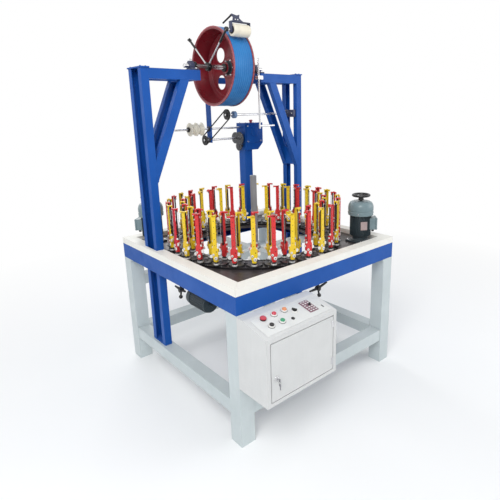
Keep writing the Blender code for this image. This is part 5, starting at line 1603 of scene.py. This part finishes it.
@dataclass
class TakeUpDrive(Assembly):
    """Drive box, guide shaft and pulley, change gears, cross shaft and belt."""

    line_y: float = 0.600
    drum_y: float = 0.290
    guide_z: float = 1.755
    lower_z: float = 1.668
    cross_z: float = 1.862
    cross_end: float = 0.6367
    box_x: tuple[float, float] = (0.360, 0.550)
    box_z: tuple[float, float] = (1.565, 1.790)
    box_front: float = 0.540
    cover_z: float = 1.715
    pulley_right: float = -0.024
    pulley_length: float = 0.118
    pulley_radius: float = 0.052
    groove_depth: float = 0.0135
    sprocket: float = 0.036
    belt_half: float = 0.0045

    def build(self) -> None:
        """Makes the drive."""
        self._guide()
        self._gears()
        self._cross()
        self._belt()
        self._box()
        self.shop.dress(BRIGHT_STEEL, "lever_rod", "guide_shaft", "cross_shaft")
        self.shop.dress(IVORY, "guide_pulley")
        self.shop.dress(GEAR_STEEL, "change_gears")
        self.shop.dress(RUBBER, "drive_belt")

    def _guide(self) -> None:
        """Adds the guide shaft, its collars and the ivory pulley."""
        y, z = self.line_y, self.guide_z
        shaft = Mould().rod((-0.270, y, z), (self.box_x[0] - 0.0003, y, z), 0.0080, 24)
        self.shop.add("guide_shaft_steel", shaft, BRIGHT_STEEL, stands_for=["guide_shaft"])
        collars = Mould()
        for x in (-0.156, -0.022):
            collars.collar((x, y, z), 0.0082, 0.0200, 0.012, steps=28)
        plain = [(0.0082, 0), (0.016, 0), (0.016, 0.010), (0.0082, 0.010)]
        collars.lathe(plain, Axis.X.matrix((0.052, y, z)), 24, loop=True)
        self.shop.add("guide_collars", collars, BLACK)
        length, outer = self.pulley_length, self.pulley_radius
        profile = [(0.0092, 0.0), (outer * 0.56, 0.0), (outer * 0.60, 0.001), (outer * 0.84, 0.004)]
        for groove in range(2):
            for step in range(9):
                dip = self.groove_depth * math.sin(math.pi * step / 8) ** 0.8
                profile.append((outer - 0.0004 - dip, length * (0.06 + 0.47 * groove + 0.41 * step / 8)))
        profile += [(outer * 0.60, length - 0.001), (outer * 0.56, length), (0.0092, length)]
        pulley = Mould().lathe(profile, Axis.X.matrix((self.pulley_right - length, y, z)), 56, loop=True)
        self.shop.add("guide_pulley_body", pulley, IVORY, "guide_pulley", ["guide_pulley"])

    def _gears(self) -> None:
        """Adds the toothed change gears, their stub and the lower belt pulley."""
        y, z, face = self.line_y, self.lower_z, self.box_x[0] - 0.0003
        hub = [(0, -0.005), (0.013, -0.005), (0.015, -0.003), (0.015, 0.0), (0, 0.0)]
        mould = Mould()
        for back, across, up, radius, teeth in (
            (0.030, 0.034, 0.0, 0.0478, 34), (0.041, -0.040, 0.0, 0.0518, 38),
            (0.030, -0.012, -0.068, 0.0385, 28)
        ):
            place = Axis.X.matrix((face - back - 0.0098, y + across, z + up))
            mould.prism(toothed(radius, teeth, 0.0042), 0.0096, place).lathe(hub, place, 24)
        mould.block((face - 0.031, y - 0.029, z - 0.029), (face, y + 0.029, z + 0.029), 0.002)
        mould.rod((face - 0.031, y - 0.012, z - 0.068), (face, y - 0.012, z - 0.068), 0.0110, 16)
        self.shop.add("change_gear_wheels", mould, GEAR_STEEL, stands_for=["change_gears"])
        stub = Mould().rod((-0.0100, y, z), (face, y, z), 0.0088, 24)
        self.shop.add("lower_stub_shaft", stub, BRIGHT_STEEL)
        self.shop.add("lower_belt_pulley", self._flanged((0.0, y, z)), BLACK)

    def _flanged(self, spot: Point) -> Mould:
        """Makes a belt pulley with its hub.

        Args:
            spot: its middle.

        Returns:
            Its mould.
        """
        mould, core = Mould(), self.sprocket - 0.0005
        for radius, low, high, steps in ((core, -0.0048, 0.0048, 40), (0.018, -0.0095, -0.0048, 24)):
            profile = [(0.0086, low), (radius, low), (radius, high), (0.0086, high)]
            mould.lathe(profile, Axis.X.matrix(spot), steps, loop=True)
        return mould

    def _cross(self) -> None:
        """Adds the cross shaft with its pulley, bearing and end block."""
        y, z, face = self.drum_y, self.cross_z, self.cross_end
        shaft = Mould().rod((-0.014, y, z), (face - 0.006, y, z), 0.0080, 24)
        self.shop.add("cross_shaft_steel", shaft, BRIGHT_STEEL, stands_for=["cross_shaft"])
        self.shop.add("upper_belt_pulley", self._flanged((0.0, y, z)), BLACK)
        self.shop.add(
            "cross_shaft_collar", Mould().collar((0.055, y, z), 0.0084, 0.026, 0.025, 0.002), BEARING_BLUE
        )
        end = Mould().block(
            (face - 0.0295, y - 0.077, z - 0.029), (face - 0.0002, y + 0.077, z + 0.029), 0.003
        )
        end.collar((face - 0.040, y, z), 0.0084, 0.026, 0.012, 0.002, both=False)
        self.shop.add("cross_shaft_bearing", end, BRACKET_BLUE)
        spots = [((face - 0.0295, y + step, z), (-1, 0, 0)) for step in (-0.058, 0.058)]
        self.shop.fasten("cross_bearing_bolts", spots)

    def _belt(self) -> None:
        """Adds the belt, a flat loop with rounded ends."""
        upper, lower = Vector((self.drum_y, self.cross_z)), Vector((self.line_y, self.lower_z))
        base = math.atan2(*reversed(lower - upper))
        loops = []
        for radius in (self.sprocket + 0.0052, self.sprocket + 0.0004):
            line = []
            for centre, middle in ((upper, base + math.pi), (lower, base)):
                for step in range(17):
                    line.append(centre + Vector(polar(radius, middle + math.pi * (step / 16 - 0.5))))
            loops.append(line)
        mould = Mould()
        outer, inner = loops
        edges = ((outer, -1), (outer, 1), (inner, 1), (inner, -1))
        rings = [[mould.bm.verts.new((way * self.belt_half, *spot)) for spot in line] for line, way in edges]
        for first, second in zip(rings, rings[1:] + rings[:1]):
            for index, corner in enumerate(first):
                after = (index + 1) % len(first)
                mould.bm.faces.new((corner, first[after], second[after], second[index]))
        self.shop.add("belt_loop", mould, RUBBER, stands_for=["drive_belt"])

    def _box(self) -> None:
        """Adds the drive box's cover, bolts and breather, and the collars of the hanging bar's eyes."""
        (left, right), (low, top), front = self.box_x, self.box_z, self.box_front
        cover = Mould().block(
            (left + 0.014, front - 0.006, low + 0.060), (right - 0.016, front - 0.0002, top - 0.014), 0.0022
        )
        boss = [(0, 0), (0.040, 0), (0.040, 0.006), (0.030, 0.010), (0, 0.010)]
        place = Matrix.Translation(((left + right) / 2, front - 0.0055, self.cover_z))
        self.shop.add("drive_box_cover", cover.lathe(boss, place @ TO_FRONT, 36), BLUE)
        spots = [
            ((x, front - 0.006, z), FORWARD)
            for x in (left + 0.026, right - 0.028) for z in (low + 0.072, top - 0.026)
        ]
        spots += [
            ((x, front + back, top), UP) for x in (left + 0.020, right - 0.020) for back in (0.020, 0.100)
        ]
        self.shop.fasten("drive_box_bolts", spots, 0.9)
        knob = [
            (0, 0), (0.011, 0), (0.011, 0.010), (0.016, 0.013), (0.016, 0.021), (0.012, 0.025), (0, 0.026)
        ]
        breather = Mould().lathe(knob, Axis.Z.matrix((0.462, self.line_y - 0.01, top)), 24)
        self.shop.add("drive_box_breather", breather, BUTTON_RED)
        eyes = Mould()
        for z, bore in ((self.guide_z, 0.0084), (self.lower_z, 0.0093)):
            for x in (0.0325, 0.0515):
                eyes.collar((x, self.line_y, z), bore, 0.021, 0.006, 0.002, 28, both=False)
        self.shop.add("hanger_eye_collars", eyes, BRACKET_BLUE)


@dataclass
class Motor(Assembly):
    """An upright motor with cooling fins, fan cover, terminal box and handwheel."""

    side: str
    x: float
    y: float
    base: float = 0.9503
    flange_half: float = 0.075
    flange_top: float = 0.0118
    body_top: float = 0.200
    cover_top: float = 0.300
    cover_radius: float = 0.091
    fin_radius: float = 0.0755
    core: float = 0.068
    wheel: float = 0.066
    fins: int = 36
    rim: float = 0.0088
    plate_turn: float = math.radians(-78)

    def build(self) -> None:
        """Makes the motor and its handwheel."""
        self.shop.dress(MOTOR_GREEN, f"motor_{self.side}")
        self.shop.dress(BLACK, f"handwheel_{self.side}")
        place = Matrix.Translation((self.x, self.y, self.base))
        self._casting(place)
        self._cover(place)
        self._terminal(place @ Matrix.Rotation(math.atan2(self.y, self.x), 4, "Z"))
        self._wheel()

    def _casting(self, place: Matrix) -> None:
        """Adds the flange, neck, body and cooling fins.

        Args:
            place: the motor's place.
        """
        half, top, core = self.flange_half, self.body_top, self.core
        mould = Mould().block((-half, -half, 0), (half, half, self.flange_top), 0.003, place)
        profile = [
            (0, 0.010), (0.070, 0.010), (0.070, 0.018), (0.056, 0.024), (0.055, 0.040), (0.066, 0.046),
            (core, 0.050), (core, top - 0.001), (0, top - 0.001),
        ]
        name = f"motor_{self.side}"
        self.shop.add(f"{name}_casting", mould.lathe(profile, place, 64), MOTOR_DARK, stands_for=[name])
        fin = Mould().block((core - 0.003, -0.0013, 0.052), (self.fin_radius, 0.0013, top - 0.003), 0.0005)
        fins = self.shop.grow.around(fin.mesh("fin_template"), MOTOR_DARK, self.fins, 1e-5)
        fins.transform(place)
        self.shop.add(f"{name}_fins", fins, MOTOR_DARK)
        spots = [(place @ Vector((sx * 0.062, sy * 0.062, self.flange_top)), UP) for sx, sy in CORNERS]
        self.shop.fasten(f"{name}_bolts", spots, 1.3)

    def _cover(self, place: Matrix) -> None:
        """Adds the fan cover with its rolled band, screws, and black patches that paint the shade inside its
        air openings.

        Args:
            place: the motor's place.
        """
        low, top, radius = self.body_top - 0.0012, self.cover_top - 0.0004, self.cover_radius
        profile = [
            (0.0115, low), (radius - 0.005, low), (radius - 0.001, low + 0.003),
            (radius - 0.0005, low + 0.026),
            (radius - 0.003, low + 0.029), (radius - 0.003, low + 0.033), (radius - 0.0008, low + 0.036),
            (radius - 0.0012, top - 0.040), (radius - 0.005, top - 0.024), (radius - 0.013, top - 0.010),
            (radius - 0.026, top - 0.0025), (radius - 0.038, top), (0.0115, top),
        ]
        name = f"motor_{self.side}"
        self.shop.add(f"{name}_fan_cover", Mould().lathe(profile, place, 80, loop=True), MOTOR_GREEN)
        # Black patches on the cover's top stand for the air openings and paint the shade inside the cover.
        slot_shade = Mould()
        slot = Mould().block((-0.0045, -0.0020, -0.0016), (0.0045, 0.0020, 0.0004), 0.0006).mesh("slot")
        for ring, count in ((0.024, 10), (0.036, 14), (0.048, 18)):
            slot_shade.join(self.shop.grow.around(slot, BLACK, count, ring, 0.0, top - 0.0002), place)
        self.shop.add(f"{name}_air_slots", slot_shade, BLACK)
        ways = [Vector((*spot, 0)) for spot in circle(4, 1.0, 0.3)]
        spots = [(place @ (way * (radius - 0.0012) + Vector((0, 0, low + 0.015))), way) for way in ways]
        self.shop.fasten(f"{name}_cover_screws", spots, 0.9, socket=True)

    def _terminal(self, turn: Matrix) -> None:
        """Adds the terminal box, its lid, glands and the bare plate.

        Args:
            turn: the motor's place, with +X towards the corner.
        """
        name = f"motor_{self.side}"
        mould = Mould().block((0.060, -0.0460, 0.0955), (0.1020, 0.0460, 0.1795), 0.0035, turn)
        mould.block((0.1018, -0.0474, 0.0952), (0.1138, 0.0474, 0.1798), 0.0035, turn)
        self.shop.add(f"{name}_terminal_box", mould, MOTOR_GREEN)
        glands = Mould()
        for across in (-0.022, 0.022):
            glands.rod(
                turn @ Vector((0.086, across, 0.0962)), turn @ Vector((0.086, across, 0.0802)), 0.0095, 16
            )
        self.shop.add(f"{name}_glands", glands, BLACK)
        way = turn.to_3x3() @ Vector((1, 0, 0))
        spots = [(turn @ Vector((0.1136, y, z)), way) for y in (-0.040, 0.040) for z in (0.103, 0.172)]
        self.shop.fasten(f"{name}_lid_screws", spots, 0.7, socket=True)
        flat, face = turn @ Matrix.Rotation(self.plate_turn, 4, "Z"), self.fin_radius
        plate = Mould().block((face - 0.004, -0.024, 0.100), (face + 0.0030, 0.024, 0.160), 0.001, flat)
        self.shop.add(f"{name}_bare_plate", plate, LABEL_PLATE)

    def _wheel(self) -> None:
        """Adds the handwheel: a rounded rim, three dished spokes and a stepped hub."""
        body = f"handwheel_{self.side}"
        x, y, low = self.x, self.y, self.base + self.cover_top
        mould = Mould().ring((x, y, low + 0.040), self.wheel - self.rim, self.rim - 0.0001, Axis.Z, 56)
        hub = [
            (0, -0.020), (0.0096, -0.020), (0.0096, 0.003), (0.0210, 0.005), (0.0180, 0.018),
            (0.0160, 0.0380), (0.0130, 0.0420), (0, 0.0425),
        ]
        mould.lathe(hub, Axis.Z.matrix((x, y, low)), 32)
        for across, back in circle(3, 1.0):
            path = []
            for share in (step / 6 for step in range(7)):
                reach = 0.010 + (self.wheel - 0.020) * share
                path.append((x + reach * across, y + reach * back, low + 0.031 + 0.009 * share**2))
            mould.tube(path, 0.0060, 10)
        self.shop.add(f"{body}_rim", mould, BLACK, body, [body])


@dataclass
class Cabinet(Assembly):
    """The control cabinet with its door fittings and sloping panel."""

    left: float = -0.712
    width: float = 0.526
    front: float = -0.957
    back_top: tuple[float, float] = (-0.772, 0.824)
    front_top: tuple[float, float] = (-0.957, 0.782)
    door: tuple[float, float, float, float] = (-0.688, -0.210, 0.412, 0.756)
    gap: float = 0.005
    seal: float = 0.0022
    hinge_x: float = -0.221
    hinges: tuple[float, float] = (0.4520, 0.6860)
    panel_size: tuple[float, float] = (0.470, 0.150)
    panel_top: float = 0.0033
    stop: tuple[float, float] = (-0.165, 0.050)
    selector: tuple[float, float] = (0.033, 0.016)
    small_cap: tuple[float, float] = (-0.018, -0.028)
    pad_knob: tuple[float, float] = (0.150, 0.016)
    button: Outline = ((0, 0.0162), (0.0108, 0.0160), (0.0128, 0.0142), (0.0128, 0.0060), (0, 0.0060))
    button_collar: Outline = (
        (0.0126, 0.0), (0.0176, 0.0), (0.0182, 0.0010), (0.0178, 0.0070), (0.0144, 0.0090), (0.0126, 0.0088),
    )
    button_base: Outline = ((0.0130, 0.0), (0.0194, 0.0), (0.0194, 0.0020), (0.0130, 0.0022))
    stop_cap: Outline = (
        (0, 0.0178), (0.0100, 0.0170), (0.0165, 0.0140), (0.0188, 0.0100), (0.0180, 0.0078), (0.0100, 0.0066),
        (0, 0.0066),
    )

    def build(self) -> None:
        """Makes the cabinet's looks."""
        self.shop.dress(CABINET, "cabinet_body", "cabinet_door")
        self.shop.dress(PANEL, "control_panel")
        self._seal()
        self._lock()
        self._panel()

    def _seal(self) -> None:
        """Adds the dark seal in the gap round the door, and the hinge pins."""
        low_x, high_x, low_z, high_z = self.door
        near, far, slit, thick = self.front + 0.006, self.front + 0.013, 0.0002, self.seal
        mould = Mould()
        for x0, x1, z0, z1 in (
            (low_x + slit, high_x - slit, low_z + slit, low_z + thick),
            (low_x + slit, high_x - slit, high_z - thick, high_z - slit),
            (low_x + slit, low_x + thick, low_z + thick, high_z - thick),
            (high_x - thick, high_x - slit, low_z + thick, high_z - thick),
        ):
            mould.block((x0, near, z0), (x1, far, z1))
        self.shop.add("door_seal", mould, RUBBER)
        pins = Mould()
        for z in self.hinges:
            pins.rod((self.hinge_x, self.front, z), (self.hinge_x, self.front, z + 0.042), 0.0066, 18)
        self.shop.add("door_hinge_pins", pins, BRIGHT_STEEL, "cabinet_door")

    def _lock(self) -> None:
        """Adds the chrome lock with its key and ring."""
        x, y, z = self.door[0] + self.gap + 0.035, self.front, self.door[2] + 0.135
        profile = [
            (0, 0), (0.0165, 0), (0.0165, 0.0015), (0.0130, 0.0030), (0.0122, 0.0092), (0.0090, 0.0100),
            (0, 0.0100),
        ]
        lock = Mould().lathe(profile, Matrix.Translation((x, y, z)) @ TO_FRONT, 36)
        self.shop.add("door_lock", lock, BRIGHT_STEEL, "cabinet_door")
        key = Mould().ring((x, y - 0.0215, z - 0.0150), 0.0085, 0.0011, Axis.X, 24)
        for half, near, far, low, high, bevel in (
            (0.0019, 0.0316, 0.0160, -0.0108, 0.0108, 0.0014),
            (0.0017, 0.0180, 0.0095, -0.0040, 0.0040, 0.0008),
            (0.0010, 0.0305, 0.0235, -0.0560, -0.0220, 0.0006),
            (0.0014, 0.0316, 0.0160, -0.0360, -0.0215, 0.0010),
        ):
            key.block((x - half, y - near, z + low), (x + half, y - far, z + high), bevel)
        self.shop.add("door_key", key, DULL_STEEL, "cabinet_door")

    def _panel(self) -> None:
        """Adds the sloping plate with its buttons, selector and keypad."""
        back, front = Vector(self.back_top), Vector(self.front_top)
        slope = math.atan2(*reversed(back - front))
        spot = (self.left + self.width / 2, *((back + front) / 2))
        place = Matrix.Translation(spot) @ Matrix.Rotation(slope, 4, "X")
        (wide, deep), top = (size / 2 - 0.0004 for size in self.panel_size), self.panel_top
        sheet = Mould().block((-wide, -deep, top - 0.003), (wide, deep, top), 0.0009, place)
        for across in (0.190, 0.214):
            sheet.block(
                (across - 0.008, -0.050, top - 0.001), (across + 0.008, 0.046, top + 0.0009), 0.0006, place
            )
        self.shop.add("panel_sheet", sheet, PANEL, stands_for=["control_panel"])
        white, dark = Mould(), Mould()
        for label, finish, across, up in (
            ("red", BUTTON_RED, -0.088, 0.051), ("orange", BUTTON_ORANGE, -0.012, 0.052),
            ("black", BLACK, -0.163, -0.018), ("green", BUTTON_GREEN, -0.087, -0.018),
        ):
            seat = place @ Matrix.Translation((across, up, top))
            self.shop.add(f"button_{label}", Mould().lathe(self.button, seat, 28), finish)
            white.lathe(self.button_collar, seat, 32, loop=True)
            dark.lathe(self.button_base, seat, 32, loop=True)
        stop = place @ Matrix.Translation((*self.stop, top))
        self.shop.add("stop_button", Mould().lathe(self.stop_cap, stop, 36), BUTTON_RED)
        base = [(0, 0.0), (0.0175, 0.0), (0.0175, 0.0022), (0.0110, 0.0040), (0.0110, 0.0070), (0, 0.0070)]
        dark.lathe(base, stop, 32)
        white.lathe(self.button_collar, place @ Matrix.Translation((*self.selector, top)), 32, loop=True)
        self.shop.add("button_collars", white, WHITE_NYLON)
        self._dark_controls(place, dark)
        self.shop.add("dark_controls", dark, BLACK)
        self._keypad(place)

    def _dark_controls(self, place: Matrix, dark: Mould) -> None:
        """Adds the selector, the small cap, the keypad's knob and the slot to the dark mould.

        Args:
            place: the panel's placement.
            dark: the mould.
        """
        top = self.panel_top
        selector = place @ Matrix.Translation((*self.selector, top))
        dark.lathe([(0, 0.0), (0.0124, 0.0), (0.0124, 0.0070), (0.0110, 0.0085), (0, 0.0085)], selector, 32)
        handle = selector @ Matrix.Rotation(math.radians(35), 4, "Z")
        dark.block((-0.0044, -0.0130, 0.0070), (0.0044, 0.0170, 0.0196), 0.0018, handle)
        small = place @ Matrix.Translation((*self.small_cap, top))
        dark.lathe([(0, 0.0), (0.0105, 0.0), (0.0105, 0.0030), (0.0070, 0.0052), (0, 0.0045)], small, 28)
        knob = [(0, 0.0), (0.0085, 0.0), (0.0085, 0.0030), (0.0055, 0.0060), (0.0060, 0.0125), (0, 0.0138)]
        dark.lathe(knob, place @ Matrix.Translation((*self.pad_knob, top + 0.004)), 24)
        dark.block((0.2085, -0.040, top + 0.0006), (0.2155, -0.018, top + 0.0022), 0.0006, place)

    def _keypad(self, place: Matrix) -> None:
        """Adds the plum keypad with its rows of keys.

        Args:
            place: the panel's placement.
        """
        top = self.panel_top
        pad = Mould().block((0.1060, -0.0410, top - 0.001), (0.1700, 0.0620, top + 0.0036), 0.0012, place)
        self.shop.add("keypad_base", pad, KEYPAD_PLUM)
        key = Mould().block((-0.0060, -0.0042, 0.0), (0.0060, 0.0042, 0.0012), 0.0006).mesh("key")
        way = place.to_3x3() @ Vector(UP)
        grid = [(0.1180 + 0.0200 * column, -0.0310 + 0.0166 * row) for column in range(3) for row in range(6)]
        clear = [spot for spot in grid if math.dist(spot, self.pad_knob) > 0.013]
        spots = [(place @ Vector((*spot, top + 0.0034)), way) for spot in clear]
        self.shop.add("keypad_keys", self.shop.grow.on_points(key, KEYPAD_PLUM, spots), PANEL)


@dataclass
class UnderTable(Assembly):
    """The small motor and the clamp knobs under the band."""

    motor_x: float = -0.645
    motor_z: float = 0.762
    body: tuple[float, float] = (-0.352, -0.206)
    radius: float = 0.052
    fins: int = 26

    def build(self) -> None:
        """Dresses the parts and adds the small motor's fins."""
        self.shop.dress(MOTOR_DARK, "under_motor")
        self.shop.dress(BLACK, "hand_knob_")
        start, radius = self.body[0], self.radius
        length = self.body[1] - start
        fin = Mould().block(
            (radius - 0.0022, -0.0011, 0.004), (radius + 0.0048, 0.0011, length - 0.004), 0.0004
        )
        fins = self.shop.grow.around(fin.mesh("small_fin_template"), MOTOR_DARK, self.fins, 1e-5)
        fins.transform(Axis.Y.matrix((self.motor_x, start, self.motor_z)))
        self.shop.add("under_motor_fins", fins, MOTOR_DARK)


def main() -> None:
    """Builds the studio and every sub-assembly in order."""
    logging.basicConfig(level=logging.INFO, format="%(name)s %(message)s")
    bpy.context.scene.view_settings.view_transform = "Standard"
    Studio().build()
    shop = Workshop()
    motors = [Motor(shop, "right", 0.545, -0.545), Motor(shop, "left", -0.545, 0.545)]
    machine = [Table, CarrierRing, Gantry, TakeUpDrum, DrumShaft, TakeUpDrive]
    for assembly in [*(kind(shop) for kind in machine), *motors, Cabinet(shop), UnderTable(shop)]:
        assembly.build()
        LOG.info("%s is dressed", type(assembly).__name__)


if __name__ == "__main__":
    main()
